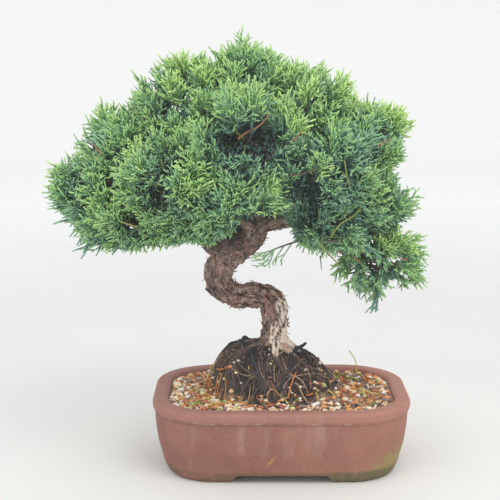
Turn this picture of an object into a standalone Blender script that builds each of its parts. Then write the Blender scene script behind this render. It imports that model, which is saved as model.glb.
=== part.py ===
"""Chinese juniper bonsai, 350 mm tall, planted in an unglazed rectangular pot with round corners.

Metres, +Z up, the viewer on the -Y side. Everything is laid out round the middle of the pot's
footprint on the ground, and at the end the whole plant is moved so that the origin lies on the
ground under the middle of its bounding box.
"""

import math
import random

import bmesh
import bpy
from mathutils import Matrix, Vector
from mathutils.geometry import delaunay_2d_cdt

# Overall sizes
TREE_HEIGHT = 0.350
CLEARANCE = 0.0003
WELD_DISTANCE = 1e-6

# Pot: rim outline, wall profile and feet
POT_HALF_LENGTH = 0.1025
POT_HALF_DEPTH = 0.0738
POT_CORNER_RADIUS = 0.0505
POT_HEIGHT = 0.0594
POT_ARC_STEPS = 6
FOOT_HEIGHT = 0.0066
FLOOR_TOP = 0.0140
SLOT_HALF_X = (0.0446, 0.0350)
SLOT_HALF_Y = (0.026, 0.021)
DRAIN_HOLE_RADIUS = 0.007
DRAIN_HOLE_X = 0.042
DRAIN_HOLE_SIDES = 12
SHARP_EDGE_DEG = 35.0
# Inset from the rim outline and height, up the outside and down the inside
POT_OUTSIDE = (
    (0.0146, 0.0000),
    (0.0116, 0.0027),
    (0.0086, 0.0092),
    (0.0080, 0.0125),
    (0.0046, 0.0245),
    (0.0027, 0.0375),
    (0.0018, 0.0500),
    (0.0003, 0.0517),
    (0.0000, 0.0573),
    (0.0018, POT_HEIGHT),
)
POT_INSIDE = (
    (0.0105, POT_HEIGHT),
    (0.0125, 0.0578),
    (0.0150, 0.0320),
    (0.0190, FLOOR_TOP),
)

# Soil bed and the mound of old root ball that stands out of it
BED_HEIGHT = 0.0568
MOUND_CENTRE = (-0.0059, 0.0020)
MOUND_HEIGHT = 0.0378
MOUND_TOP_RADIUS = 0.0109
SMOOTH_UNDER_TRUNK = 0.016
# Reach of each side from the mound's centre, and how much its slope bulges
MOUND_SIDES = {
    "right": (0.0620, 1.25),
    "back": (0.0435, 1.40),
    "left": (0.0555, 5.00),
    "front": (0.0418, 1.40),
}
# The mound's points: rings by their share of its reach, spokes, and the ridges along the spokes
MOUND_RINGS = (1.0, 0.86, 0.70, 0.52, 0.34, 0.16, 0.0)
MOUND_SPOKES = 24
MOUND_RIDGE = 0.0009
# The main stones of the gravel: a lattice of points of which one in three is a stone's top
STONE_SPACING = 0.0056
STONE_JITTER = 0.0010
STONE_TOPS = (0.0008, 0.0024)
STONE_GAPS = (-0.0014, 0.0)
STONES_FROM_WALL = 0.0022
STONES_FROM_MOUND = 0.0030
STONES_FROM_ROOTS = 0.0060

# Trunk centreline from the cut on the mound to the leader's tip: x, y, z, radius
TRUNK_WAYPOINTS = (
    (-0.0059, 0.0000, 0.0941, 0.0139),
    (-0.0056, 0.0000, 0.0995, 0.0111),
    (-0.0051, 0.0000, 0.1084, 0.0099),
    (-0.0050, 0.0000, 0.1183, 0.0097),
    (-0.0061, 0.0005, 0.1282, 0.0102),
    (-0.0134, 0.0010, 0.1347, 0.0097),
    (-0.0238, 0.0020, 0.1356, 0.0091),
    (-0.0347, 0.0020, 0.1356, 0.0093),
    (-0.0446, 0.0010, 0.1399, 0.0101),
    (-0.0497, 0.0000, 0.1492, 0.0105),
    (-0.0487, -0.0010, 0.1589, 0.0108),
    (-0.0431, -0.0020, 0.1688, 0.0117),
    (-0.0337, -0.0020, 0.1782, 0.0121),
    (-0.0238, -0.0010, 0.1866, 0.0111),
    (-0.0168, 0.0010, 0.1985, 0.0093),
    (-0.0163, 0.0040, 0.2144, 0.0079),
    (-0.0223, 0.0059, 0.2342, 0.0065),
    (-0.0297, 0.0050, 0.2559, 0.0052),
    (-0.0337, 0.0020, 0.2767, 0.0040),
    (-0.0317, -0.0020, 0.2936, 0.0027),
)
TRUNK_STEPS = 2
TRUNK_ROUNDNESS = 3
BOUGH_ROUNDNESS = 1
ROOT_COUNT = 7
ROOT_TOP_HEIGHT = 0.1010
ROOT_RADIUS = (0.0050, 0.0011)
ROOT_THINNEST = 0.62
ROOT_SPREAD = 0.30
ROOT_BEND = 0.7
ROOT_START = 0.009
ROOT_REACH = (0.026, 0.044)
ROOT_STANDING = 0.45
ROOT_DIVE = 0.0015
ROOT_STEPS = 7
# Gaps that keep about the clearance also where the faces of a tube lie inside its round form
SOIL_GAP = 0.0004
LIMB_GAP = 0.00045

# Each mass of foliage: centre and half sizes of the space that it keeps to, and its core's share
MASSES = {
    "crown_top": ((-0.0297, -0.0040, 0.3064), (0.0455, 0.0436, 0.0366), 0.60),
    "upper_left": ((-0.0713, -0.0139, 0.2906), (0.0446, 0.0495, 0.0396), 0.62),
    "upper_right": ((0.0188, -0.0099, 0.2847), (0.0465, 0.0495, 0.0406), 0.62),
    "front_high": ((-0.0277, -0.0653, 0.2688), (0.0495, 0.0396, 0.0416), 0.62),
    "left_high": ((-0.1208, -0.0059, 0.2559), (0.0465, 0.0475, 0.0366), 0.62),
    "left_tip": ((-0.1416, -0.0198, 0.2272), (0.0446, 0.0416, 0.0317), 0.58),
    "left_low": ((-0.1168, -0.0376, 0.2035), (0.0446, 0.0396, 0.0248), 0.58),
    "low_mid": ((-0.0693, -0.0475, 0.2064), (0.0356, 0.0356, 0.0238), 0.62),
    "front_left": ((-0.0812, -0.0614, 0.2391), (0.0455, 0.0396, 0.0376), 0.62),
    "front_low": ((-0.0356, -0.0743, 0.2243), (0.0416, 0.0327, 0.0307), 0.62),
    "right_front": ((0.0297, -0.0554, 0.2451), (0.0495, 0.0436, 0.0416), 0.62),
    "right_high": ((0.0653, -0.0050, 0.2629), (0.0416, 0.0475, 0.0317), 0.60),
    "right_tip": ((0.0693, -0.0139, 0.2173), (0.0416, 0.0475, 0.0356), 0.60),
    "right_inner": ((0.0416, -0.0436, 0.2035), (0.0396, 0.0396, 0.0267), 0.58),
    "right_low": ((0.0782, -0.0208, 0.1678), (0.0386, 0.0376, 0.0307), 0.40),
    "back_high": ((-0.0297, 0.0594, 0.2728), (0.0515, 0.0455, 0.0416), 0.62),
    "back_left": ((-0.0950, 0.0475, 0.2332), (0.0495, 0.0436, 0.0396), 0.62),
    "back_right": ((0.0416, 0.0525, 0.2332), (0.0515, 0.0455, 0.0396), 0.62),
    "back_low": ((-0.0277, 0.0673, 0.2134), (0.0495, 0.0396, 0.0337), 0.62),
    "wisp": ((-0.0050, -0.0277, 0.1728), (0.0208, 0.0119, 0.0119), 0.0),
}

# Each bough: its parent limb, where it leaves it as a share of that limb, the mass that it
# carries, its base and tip radius, and how far its middle rises
BOUGHS = {
    "bough_left_low": ("trunk", 0.56, "left_low", 0.0062, 0.0024, 0.010),
    "bough_low_mid": ("trunk", 0.62, "low_mid", 0.0042, 0.0020, -0.002),
    "bough_left_tip": ("trunk", 0.745, "left_tip", 0.0046, 0.0022, 0.006),
    "bough_front_left": ("bough_left_tip", 0.24, "front_left", 0.0036, 0.0020, 0.004),
    "bough_front_low": ("trunk", 0.675, "front_low", 0.0044, 0.0020, 0.000),
    "bough_right_low": ("trunk", 0.685, "right_low", 0.0052, 0.0022, 0.016),
    "bough_right_inner": ("bough_right_low", 0.22, "right_inner", 0.0036, 0.0020, 0.004),
    "bough_back_low": ("trunk", 0.735, "back_low", 0.0040, 0.0020, 0.004),
    "bough_right_tip": ("trunk", 0.770, "right_tip", 0.0044, 0.0022, 0.010),
    "bough_right_front": ("trunk", 0.795, "right_front", 0.0040, 0.0020, 0.004),
    "bough_back_left": ("trunk", 0.800, "back_left", 0.0040, 0.0020, 0.006),
    "bough_back_right": ("trunk", 0.830, "back_right", 0.0038, 0.0020, 0.004),
    "bough_left_high": ("trunk", 0.845, "left_high", 0.0038, 0.0020, 0.004),
    "bough_right_high": ("trunk", 0.870, "right_high", 0.0034, 0.0018, 0.004),
    "bough_front_high": ("trunk", 0.885, "front_high", 0.0032, 0.0018, 0.002),
    "bough_back_high": ("trunk", 0.905, "back_high", 0.0032, 0.0018, 0.002),
    "bough_upper_left": ("trunk", 0.925, "upper_left", 0.0028, 0.0016, 0.002),
    "bough_upper_right": ("trunk", 0.955, "upper_right", 0.0026, 0.0016, 0.002),
    "bough_wisp": ("bough_right_low", 0.40, "wisp", 0.0013, 0.0009, -0.002),
}
BOUGH_STEPS = 6
BOUGH_ENTRY = 0.82
BOUGH_LONGEST_SHARE = 0.9
BOUGH_SWAY = 0.004

# How a mass grows: twigs spread evenly from its heart, each ending in a toothed spray
SPRAYS_PER_MASS = 16
SPRAYS_PER_WISP = 6
SPACE_MARGIN = 0.05
CORE_MARGIN = 0.07
CORE_ROUGHNESS = (0.90, 1.08)
CORE_LEAST_SHARE = 0.12
FURTHEST_SHARE = 0.99
DRAW_IN = 0.96
NEAR_MASS = 1.1
STEM_TAPER = (0.9, 0.6)
TWIG_RADIUS = (0.0012, 0.0007)
TWIG_INTO_SPRAY = 0.30
SPRAY_LENGTH = 0.032
SPRAY_LENGTH_SHARE = 0.85
SPRAY_HALF_THICKNESS = 0.0014
SPRAY_RIDGE = 0.42
SPRAY_LIFT = 0.25
SPRAY_LEAN = 0.65
SPRAY_MIDDLES = (0.45, 0.75)
TOOTH_ANGLES_DEG = (-36.0, 0.0, 36.0)
TOOTH_REACHES = (0.78, 1.0, 0.78)
NOTCH_REACH = 0.56
LEADER_TIP = (-0.0307, -0.0040, TREE_HEIGHT)
LEADER_LENGTH = 0.032
LIMB_CLEARANCE = 0.0010
GOLDEN_ANGLE = math.pi * (3.0 - math.sqrt(5.0))

COLOURS = {
    "stoneware": ((0.36, 0.17, 0.13), 0.85),
    "soil": ((0.12, 0.08, 0.05), 0.95),
    "bark": ((0.23, 0.14, 0.11), 0.90),
    "foliage": ((0.13, 0.30, 0.08), 0.70),
}


def clear_scene():
    """Removes whatever the scene starts with."""
    for obj in list(bpy.data.objects):
        bpy.data.objects.remove(obj, do_unlink=True)


def new_collection(name):
    """A collection linked to the scene."""
    made = bpy.data.collections.new(name)
    bpy.context.scene.collection.children.link(made)
    return made


def material(name):
    """The Principled material of that name, made on first use."""
    found = bpy.data.materials.get(name)
    if found:
        return found
    colour, roughness = COLOURS[name]
    made = bpy.data.materials.new(name)
    made.use_nodes = True
    shader = made.node_tree.nodes["Principled BSDF"]
    shader.inputs["Base Color"].default_value = (*colour, 1.0)
    shader.inputs["Roughness"].default_value = roughness
    shader.inputs["Metallic"].default_value = 0.0
    made.diffuse_color = (*colour, 1.0)
    return made


def mesh_object(name, mesh, collection, material_name=None):
    """An object for a mesh, in a collection, with one material."""
    made = bpy.data.objects.new(name, mesh)
    collection.objects.link(made)
    if material_name:
        mesh.materials.clear()
        mesh.materials.append(material(material_name))
    return made


def object_from_bmesh(name, bm, collection, material_name=None):
    """An object that takes over a bmesh, with its faces pointing out."""
    bmesh.ops.recalc_face_normals(bm, faces=bm.faces)
    mesh = bpy.data.meshes.new(name)
    bm.to_mesh(mesh)
    bm.free()
    return mesh_object(name, mesh, collection, material_name)


def evaluated_mesh(obj):
    """A new mesh of the object with its modifiers applied, its near points welded."""
    graph = bpy.context.evaluated_depsgraph_get()
    mesh = bpy.data.meshes.new_from_object(obj.evaluated_get(graph))
    bm = bmesh.new()
    bm.from_mesh(mesh)
    bmesh.ops.remove_doubles(bm, verts=bm.verts, dist=WELD_DISTANCE)
    bm.to_mesh(mesh)
    bm.free()
    return mesh


def apply_modifiers(obj):
    """Makes the object's evaluated mesh its own."""
    mesh = evaluated_mesh(obj)
    obj.modifiers.clear()
    obj.data = mesh


def as_cutter(obj):
    """Marks an object as one that only cuts others."""
    obj.hide_render = True
    obj.display_type = "WIRE"
    return obj


def boolean(obj, other, operation, solver="EXACT"):
    """Adds a Boolean with another object or with a whole collection."""
    modifier = obj.modifiers.new(operation.lower(), "BOOLEAN")
    modifier.operation = operation
    modifier.solver = solver
    if isinstance(other, bpy.types.Collection):
        modifier.operand_type = "COLLECTION"
        modifier.collection = other
    else:
        modifier.object = other


def fuse(base, others, solver="EXACT"):
    """Joins the other objects into base with one Boolean union, and removes them."""
    group = new_collection("pieces of " + base.name)
    for obj in others:
        for home in list(obj.users_collection):
            home.objects.unlink(obj)
        group.objects.link(obj)
    boolean(base, group, "UNION", solver)
    apply_modifiers(base)
    for obj in others:
        bpy.data.objects.remove(obj, do_unlink=True)
    bpy.data.collections.remove(group)


def drop_scraps(obj):
    """Keeps only the largest of the separate bodies in the object's mesh."""
    bm = bmesh.new()
    bm.from_mesh(obj.data)
    left, bodies = set(bm.verts), []
    while left:
        body, front = set(), [left.pop()]
        while front:
            vert = front.pop()
            body.add(vert)
            for edge in vert.link_edges:
                other = edge.other_vert(vert)
                if other in left:
                    left.remove(other)
                    front.append(other)
        bodies.append(body)
    bodies.sort(key=len)
    for body in bodies[:-1]:
        bmesh.ops.delete(bm, geom=list(body), context="VERTS")
    bm.to_mesh(obj.data)
    bm.free()


def smooth_path(waypoints, steps):
    """Catmull-Rom samples through points of any number of coordinates, steps to each span."""
    ends = [waypoints[0], *waypoints, waypoints[-1]]
    samples = []
    for i in range(len(waypoints) - 1):
        a, b, c, d = ends[i : i + 4]
        for step in range(steps):
            t = step / steps
            samples.append(
                tuple(
                    0.5
                    * (
                        2 * q
                        + (r - p) * t
                        + (2 * p - 5 * q + 4 * r - s) * t * t
                        + (3 * q - p - 3 * r + s) * t**3
                    )
                    for p, q, r, s in zip(a, b, c, d)
                )
            )
    samples.append(tuple(waypoints[-1]))
    return samples


def limb_mesh(name, samples, roundness, extra=0.0):
    """A closed tapering tube round samples of x, y, z and radius, as a mesh."""
    curve = bpy.data.curves.new(name, "CURVE")
    curve.dimensions = "3D"
    curve.bevel_depth = 1.0
    curve.bevel_resolution = roundness
    curve.use_fill_caps = True
    spline = curve.splines.new("POLY")
    spline.points.add(len(samples) - 1)
    for point, (x, y, z, radius) in zip(spline.points, samples):
        point.co = (x, y, z, 1.0)
        point.radius = radius + extra
    obj = bpy.data.objects.new(name, curve)
    bpy.context.scene.collection.objects.link(obj)
    mesh = evaluated_mesh(obj)
    bpy.data.objects.remove(obj, do_unlink=True)
    return mesh


def distance_to_limb(point, samples):
    """How far a point lies outside a limb's skin, below zero inside it."""
    nearest = math.inf
    for first, second in zip(samples, samples[1:]):
        a, b = Vector(first[:3]), Vector(second[:3])
        along = b - a
        t = max(0.0, min(1.0, (point - a).dot(along) / max(along.length_squared, 1e-12)))
        radius = first[3] + (second[3] - first[3]) * t
        nearest = min(nearest, (point - a - along * t).length - radius)
    return nearest


# The pot


def rounded_outline(inset):
    """Points round the pot's rim outline, moved inwards by an inset."""
    half_x, half_y = POT_HALF_LENGTH - inset, POT_HALF_DEPTH - inset
    radius = POT_CORNER_RADIUS - inset
    points = []
    for corner, (sx, sy) in enumerate(((1, 1), (-1, 1), (-1, -1), (1, -1))):
        cx, cy = sx * (half_x - radius), sy * (half_y - radius)
        for step in range(POT_ARC_STEPS + 1):
            angle = math.radians(90.0) * (corner + step / POT_ARC_STEPS)
            points.append((cx + radius * math.cos(angle), cy + radius * math.sin(angle)))
    return points


def add_ring(bm, outline, height):
    """A ring of new vertices at one height."""
    return [bm.verts.new((x, y, height)) for x, y in outline]


def bridge(bm, lower, upper):
    """Quads between two rings of the same count."""
    count = len(lower)
    for i in range(count):
        j = (i + 1) % count
        bm.faces.new((lower[i], lower[j], upper[j], upper[i]))


def slot_cutter(name, half_widths, along_x, collection):
    """A long bar of trapezium section that opens the gap between two pairs of feet."""
    low, high = half_widths
    bm = bmesh.new()
    bmesh.ops.create_cube(bm, size=2.0)
    for vert in bm.verts:
        side, length, up = vert.co
        half = high if up > 0 else low
        across, far = side * half, length * 2.0 * POT_HALF_LENGTH
        vert.co = (far, across, 0.0) if along_x else (across, far, 0.0)
        vert.co.z = FOOT_HEIGHT if up > 0 else -FOOT_HEIGHT
    return as_cutter(object_from_bmesh(name, bm, collection))


def make_pot(parts, cutters):
    """The pot as one moulded shell, its four corner feet left by two crossing slots."""
    bm = bmesh.new()
    rings = [add_ring(bm, rounded_outline(i), z) for i, z in POT_OUTSIDE + POT_INSIDE]
    for lower, upper in zip(rings, rings[1:]):
        bridge(bm, lower, upper)
    bm.faces.new(rings[0][::-1])
    bm.faces.new(rings[-1])
    pot = object_from_bmesh("pot", bm, parts, "stoneware")
    boolean(pot, slot_cutter("slot_front", SLOT_HALF_X, False, cutters), "DIFFERENCE")
    boolean(pot, slot_cutter("slot_side", SLOT_HALF_Y, True, cutters), "DIFFERENCE")
    for side in (-1, 1):
        bpy.ops.mesh.primitive_cylinder_add(
            vertices=DRAIN_HOLE_SIDES,
            radius=DRAIN_HOLE_RADIUS,
            depth=4 * FLOOR_TOP,
            location=(side * DRAIN_HOLE_X, 0.0, 0.0),
        )
        hole = bpy.context.object
        hole.name = "drain_hole_" + ("left" if side < 0 else "right")
        for home in list(hole.users_collection):
            home.objects.unlink(hole)
        cutters.objects.link(hole)
        boolean(pot, as_cutter(hole), "DIFFERENCE")
    pot.data.shade_smooth()
    pot.data.set_sharp_from_angle(angle=math.radians(SHARP_EDGE_DEG))


# The soil


def mound_side(dx, dy):
    """Distance of a place from the mound's centre, and the mound's reach and bulge there."""
    distance = math.hypot(dx, dy)
    right, left = max(dx, 0.0) / distance, max(-dx, 0.0) / distance
    back, front = max(dy, 0.0) / distance, max(-dy, 0.0) / distance
    shares = {"right": right**2, "back": back**2, "left": left**2, "front": front**2}
    reach = sum(share * MOUND_SIDES[side][0] for side, share in shares.items())
    bulge = sum(share * MOUND_SIDES[side][1] for side, share in shares.items())
    return distance, reach, bulge


def mound_rise(x, y):
    """Height of the root mound above the bed at a place."""
    dx, dy = x - MOUND_CENTRE[0], y - MOUND_CENTRE[1]
    if math.hypot(dx, dy) < 1e-9:
        return MOUND_HEIGHT
    distance, reach, bulge = mound_side(dx, dy)
    out = (distance - MOUND_TOP_RADIUS) / (reach - MOUND_TOP_RADIUS)
    return MOUND_HEIGHT * (1.0 - max(0.0, min(1.0, out)) ** bulge)


def inside_wall(height):
    """Inset of the pot's inner wall at a height, from its profile."""
    for (upper_inset, upper_z), (lower_inset, lower_z) in zip(POT_INSIDE, POT_INSIDE[1:]):
        if lower_z <= height <= upper_z:
            t = (height - lower_z) / (upper_z - lower_z)
            return lower_inset + (upper_inset - lower_inset) * t
    return POT_INSIDE[-1][0]


def within_pot(x, y, inset):
    """True inside the rim outline moved inwards by an inset."""
    radius = POT_CORNER_RADIUS - inset
    across = max(abs(x) - (POT_HALF_LENGTH - POT_CORNER_RADIUS), 0.0)
    back = max(abs(y) - (POT_HALF_DEPTH - POT_CORNER_RADIUS), 0.0)
    return math.hypot(across, back) < radius


def stone_points():
    """Low and high points of the gravel round the mound, as x, y and height over the bed."""
    chance = random.Random(31)
    roots = [sample for index in range(ROOT_COUNT) for sample in root_samples(index)]
    inset = inside_wall(BED_HEIGHT) + STONES_FROM_WALL
    reach = int(2.0 * POT_HALF_LENGTH / STONE_SPACING)
    points = []
    for row in range(-reach, reach + 1):
        for column in range(-reach, reach + 1):
            x = (column + row / 2) * STONE_SPACING + chance.uniform(-STONE_JITTER, STONE_JITTER)
            y = row * math.sqrt(0.75) * STONE_SPACING + chance.uniform(-STONE_JITTER, STONE_JITTER)
            top, gap = chance.uniform(*STONE_TOPS), chance.uniform(*STONE_GAPS)
            distance, edge, _ = mound_side(x - MOUND_CENTRE[0], y - MOUND_CENTRE[1])
            if not within_pot(x, y, inset) or distance < edge + STONES_FROM_MOUND:
                continue
            by_root = any(math.hypot(x - s[0], y - s[1]) < STONES_FROM_ROOTS for s in roots)
            is_top = (column - row) % 3 == 0 and not by_root
            points.append((x, y, top if is_top else gap))
    return points


def mound_points():
    """Points of the mound in rings, ridged along every other spoke, as x, y and height."""
    points = [(*MOUND_CENTRE, MOUND_HEIGHT)]
    for spoke in range(MOUND_SPOKES):
        angle = math.tau * spoke / MOUND_SPOKES
        way = (math.cos(angle), math.sin(angle))
        _, reach, _ = mound_side(*way)
        for share in MOUND_RINGS:
            distance = MOUND_TOP_RADIUS + (reach - MOUND_TOP_RADIUS) * share
            x, y = (c + w * distance for c, w in zip(MOUND_CENTRE, way))
            ridged = distance > SMOOTH_UNDER_TRUNK and share < 1.0
            ridge = MOUND_RIDGE * (1 if spoke % 2 else -1) if ridged else 0.0
            points.append((x, y, mound_rise(x, y) + ridge))
    return points


def make_soil(parts):
    """The bed of gravel that fills the pot, with its main stones and the root mound."""
    bm = bmesh.new()
    floor = FLOOR_TOP + CLEARANCE
    side_heights = (floor, POT_INSIDE[-2][1], BED_HEIGHT)
    rings = [
        add_ring(bm, rounded_outline(inside_wall(z) + 2 * CLEARANCE), z) for z in side_heights
    ]
    for lower, upper in zip(rings, rings[1:]):
        bridge(bm, lower, upper)
    bm.faces.new(rings[0][::-1])
    inner = [(x, y, BED_HEIGHT + z) for x, y, z in mound_points() + stone_points()]
    top = rings[-1] + [bm.verts.new(point) for point in inner]
    flat = [vert.co.xy for vert in top]
    _, _, faces, origins, _, _ = delaunay_2d_cdt(flat, [], [], 0, WELD_DISTANCE)
    for face in faces:
        bm.faces.new([top[origins[corner][0]] for corner in face])
    bmesh.ops.triangulate(bm, faces=bm.faces)
    return object_from_bmesh("soil", bm, parts, "soil")


# The trunk and boughs


def root_samples(index):
    """One surface root, from inside the flare down the mound, its end dying away in the soil."""
    chance = random.Random(100 + index)
    start_angle = math.tau * (index + chance.uniform(-ROOT_SPREAD, ROOT_SPREAD)) / ROOT_COUNT
    reach = chance.uniform(*ROOT_REACH)
    thick = ROOT_RADIUS[0] * chance.uniform(ROOT_THINNEST, 1.0)
    bend = chance.uniform(-ROOT_BEND, ROOT_BEND)
    base = TRUNK_WAYPOINTS[0]
    samples = [(base[0], base[1], ROOT_TOP_HEIGHT, thick)]
    for step in range(1, ROOT_STEPS + 1):
        t = step / ROOT_STEPS
        angle = start_angle + bend * t * t
        distance = ROOT_START + (reach - ROOT_START) * t
        radius = thick + (ROOT_RADIUS[1] - thick) * t**0.7
        x = base[0] + distance * math.cos(angle)
        y = base[1] + distance * math.sin(angle)
        standing = ROOT_STANDING * radius - ROOT_DIVE * t**6
        samples.append((x, y, BED_HEIGHT + mound_rise(x, y) + standing, radius))
    return samples


def trunk_samples():
    """Centreline and radius of the trunk, evenly smooth."""
    return smooth_path(TRUNK_WAYPOINTS, TRUNK_STEPS)


def make_trunk(parts, cutters, soil):
    """The trunk with its root flare, cut off just clear of the soil that it stands on."""
    mesh = limb_mesh("trunk", trunk_samples(), TRUNK_ROUNDNESS)
    trunk = mesh_object("trunk", mesh, parts, "bark")
    roots = []
    for index in range(ROOT_COUNT):
        mesh = limb_mesh(f"root_{index}", root_samples(index), BOUGH_ROUNDNESS)
        roots.append(mesh_object(f"root_{index}", mesh, parts))
    fuse(trunk, roots)
    ground = mesh_object("ground_of_trunk", soil.data.copy(), cutters)
    ground.data.transform(Matrix.Translation((0.0, 0.0, SOIL_GAP)))
    boolean(trunk, as_cutter(ground), "DIFFERENCE")
    apply_modifiers(trunk)
    drop_scraps(trunk)
    trunk.data.materials.clear()
    trunk.data.materials.append(material("bark"))
    trunk.data.shade_smooth()


def point_along(samples, share):
    """Place and radius at a share of a limb's samples."""
    at = share * (len(samples) - 1)
    low = min(int(at), len(samples) - 2)
    t = at - low
    return tuple(a + (b - a) * t for a, b in zip(samples[low], samples[low + 1]))


def reach_in_mass(point, mass):
    """How far out a point lies in a mass's space: 0 at its heart and 1 at its edge."""
    centre, radii, _ = MASSES[mass]
    return math.sqrt(sum(((p - c) / r) ** 2 for p, c, r in zip(point, centre, radii)))


def bough_samples(name, limbs):
    """Centreline and radius of one bough, from inside its parent to its mass's edge."""
    parent, share, mass, base_radius, tip_radius, rise = BOUGHS[name]
    start = Vector(point_along(limbs[parent], share)[:3])
    centre = Vector(MASSES[mass][0])
    entry = min(BOUGH_LONGEST_SHARE, BOUGH_ENTRY / reach_in_mass(start, mass))
    end = centre + (start - centre) * entry
    chance = random.Random(name)
    aside = (end - start).cross(Vector((0, 0, 1))).normalized()
    sway = aside * chance.uniform(-BOUGH_SWAY, BOUGH_SWAY)
    samples = []
    for step in range(BOUGH_STEPS + 1):
        t = step / BOUGH_STEPS
        swell = math.sin(math.pi * t)
        point = start.lerp(end, t) + Vector((0, 0, rise)) * swell + sway * math.sin(math.tau * t)
        samples.append((*point, base_radius + (tip_radius - base_radius) * t))
    return samples


def limb_cutter(name, limbs, cutters):
    """A limb's own form with the clearance added, for cutting its neighbours."""
    cutter_name = "clear_of_" + name
    found = bpy.data.objects.get(cutter_name)
    if found:
        return found
    samples = list(limbs[name])
    end, before = Vector(samples[-1][:3]), Vector(samples[-2][:3])
    tip = end + (end - before).normalized() * CLEARANCE
    samples.append((*tip, samples[-1][3]))
    roundness = TRUNK_ROUNDNESS if name == "trunk" else BOUGH_ROUNDNESS
    mesh = limb_mesh(cutter_name, samples, roundness, extra=LIMB_GAP)
    return as_cutter(mesh_object(cutter_name, mesh, cutters))


def make_boughs(parts, cutters, limbs):
    """All boughs, each cut clear of the trunk and of the limb that it forks from."""
    for name in BOUGHS:
        limbs[name] = bough_samples(name, limbs)
        mesh = limb_mesh(name, limbs[name], BOUGH_ROUNDNESS)
        bough = mesh_object(name, mesh, parts, "bark")
        for limb in sorted({"trunk", BOUGHS[name][0]}):
            boolean(bough, limb_cutter(limb, limbs, cutters), "DIFFERENCE")
        apply_modifiers(bough)
        drop_scraps(bough)
        bough.data.shade_smooth()


# The foliage


def in_space(point, mass, margin):
    """True where a point is inside a mass's own space and nearer to it than to any other."""
    own = reach_in_mass(point, mass)
    if own > 1.0:
        return False
    others = (reach_in_mass(point, other) for other in MASSES if other != mass)
    return all(own + margin < other for other in others)


def has_room(points, mass, limbs, margin):
    """True where all points of a twig or spray keep to the mass and clear of the limbs."""
    return all(
        in_space(point, mass, margin)
        and all(distance_to_limb(point, samples) > LIMB_CLEARANCE for samples in limbs.values())
        for point in points
    )


def scaled(mass, direction, share):
    """The place at a share of a mass's reach, in a direction from its heart."""
    centre, radii, _ = MASSES[mass]
    return Vector(c + d * r * share for c, d, r in zip(centre, direction, radii))


def aligned(start, end, roll=0.0):
    """The matrix that puts local Z along start to end, with its origin at start."""
    turn = (end - start).to_track_quat("Z", "Y").to_matrix().to_4x4()
    return Matrix.Translation(start) @ turn @ Matrix.Rotation(roll, 4, "Z")


def twig_object(name, start, end, radii, collection):
    """A three-sided tapering twig."""
    bm = bmesh.new()
    length = (end - start).length
    bmesh.ops.create_cone(
        bm, cap_ends=True, segments=3, radius1=radii[0], radius2=radii[1], depth=length
    )
    bmesh.ops.translate(bm, verts=bm.verts, vec=(0.0, 0.0, length / 2))
    bmesh.ops.transform(bm, verts=bm.verts, matrix=aligned(start, end))
    return object_from_bmesh(name, bm, collection)


def spray_outline(length):
    """Across and along of a spray's outline, from its root round by its teeth and notches."""
    points = [(0.0, 0.0)]
    for i, (angle, reach) in enumerate(zip(TOOTH_ANGLES_DEG, TOOTH_REACHES)):
        if i:
            between = math.radians((TOOTH_ANGLES_DEG[i - 1] + angle) / 2)
            points.append((NOTCH_REACH * math.sin(between), NOTCH_REACH * math.cos(between)))
        tilt = math.radians(angle)
        points.append((reach * math.sin(tilt), reach * math.cos(tilt)))
    return [(length * across, length * along) for across, along in points]


def spray_object(name, start, end, roll, collection):
    """A toothed blade: a double pyramid over the spray's outline, thickest at its ridge."""
    length = (end - start).length
    outline = spray_outline(length)
    bm = bmesh.new()
    bmesh.ops.create_uvsphere(bm, u_segments=len(outline), v_segments=2, radius=1.0)
    around = [vert for vert in bm.verts if abs(vert.co.z) < 0.5]
    around.sort(key=lambda vert: math.atan2(vert.co.y, vert.co.x))
    for vert in bm.verts:
        vert.co = (0.0, math.copysign(SPRAY_HALF_THICKNESS, vert.co.z), SPRAY_RIDGE * length)
    for vert, (across, along) in zip(around, outline):
        vert.co = (across, 0.0, along)
    bmesh.ops.transform(bm, verts=bm.verts, matrix=aligned(start, end, roll))
    return object_from_bmesh(name, bm, collection)


def core_object(name, mass, limbs, collection):
    """The smaller core of a dense mass, held back where its neighbours come near."""
    chance = random.Random(name)
    bm = bmesh.new()
    bmesh.ops.create_icosphere(bm, subdivisions=2, radius=1.0)
    for vert in bm.verts:
        direction = vert.co.normalized()
        share = MASSES[mass][2] * chance.uniform(*CORE_ROUGHNESS)
        vert.co = scaled(mass, direction, share)
        while share > CORE_LEAST_SHARE and not has_room([vert.co], mass, limbs, CORE_MARGIN):
            share *= DRAW_IN
            vert.co = scaled(mass, direction, share)
    return object_from_bmesh(name, bm, collection)


def even_directions(count, turn):
    """Unit vectors spread evenly over the sphere, on a spiral."""
    for i in range(count):
        z = 1.0 - (2 * i + 1) / count
        across = math.sqrt(1.0 - z * z)
        angle = i * GOLDEN_ANGLE + turn
        yield Vector((across * math.cos(angle), across * math.sin(angle), z))


def stem_samples(mass, limbs):
    """A mass's stem, from just clear of its bough's tip or of the leader to the mass's heart."""
    carrier = next((name for name, row in BOUGHS.items() if row[2] == mass), "trunk")
    tip, before = limbs[carrier][-1], limbs[carrier][-2]
    aim = (Vector(tip[:3]) - Vector(before[:3])).normalized()
    start = Vector(tip[:3]) + aim * 3 * CLEARANCE
    return [(*start, STEM_TAPER[0] * tip[3]), (*MASSES[mass][0], STEM_TAPER[1] * tip[3])]


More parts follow.
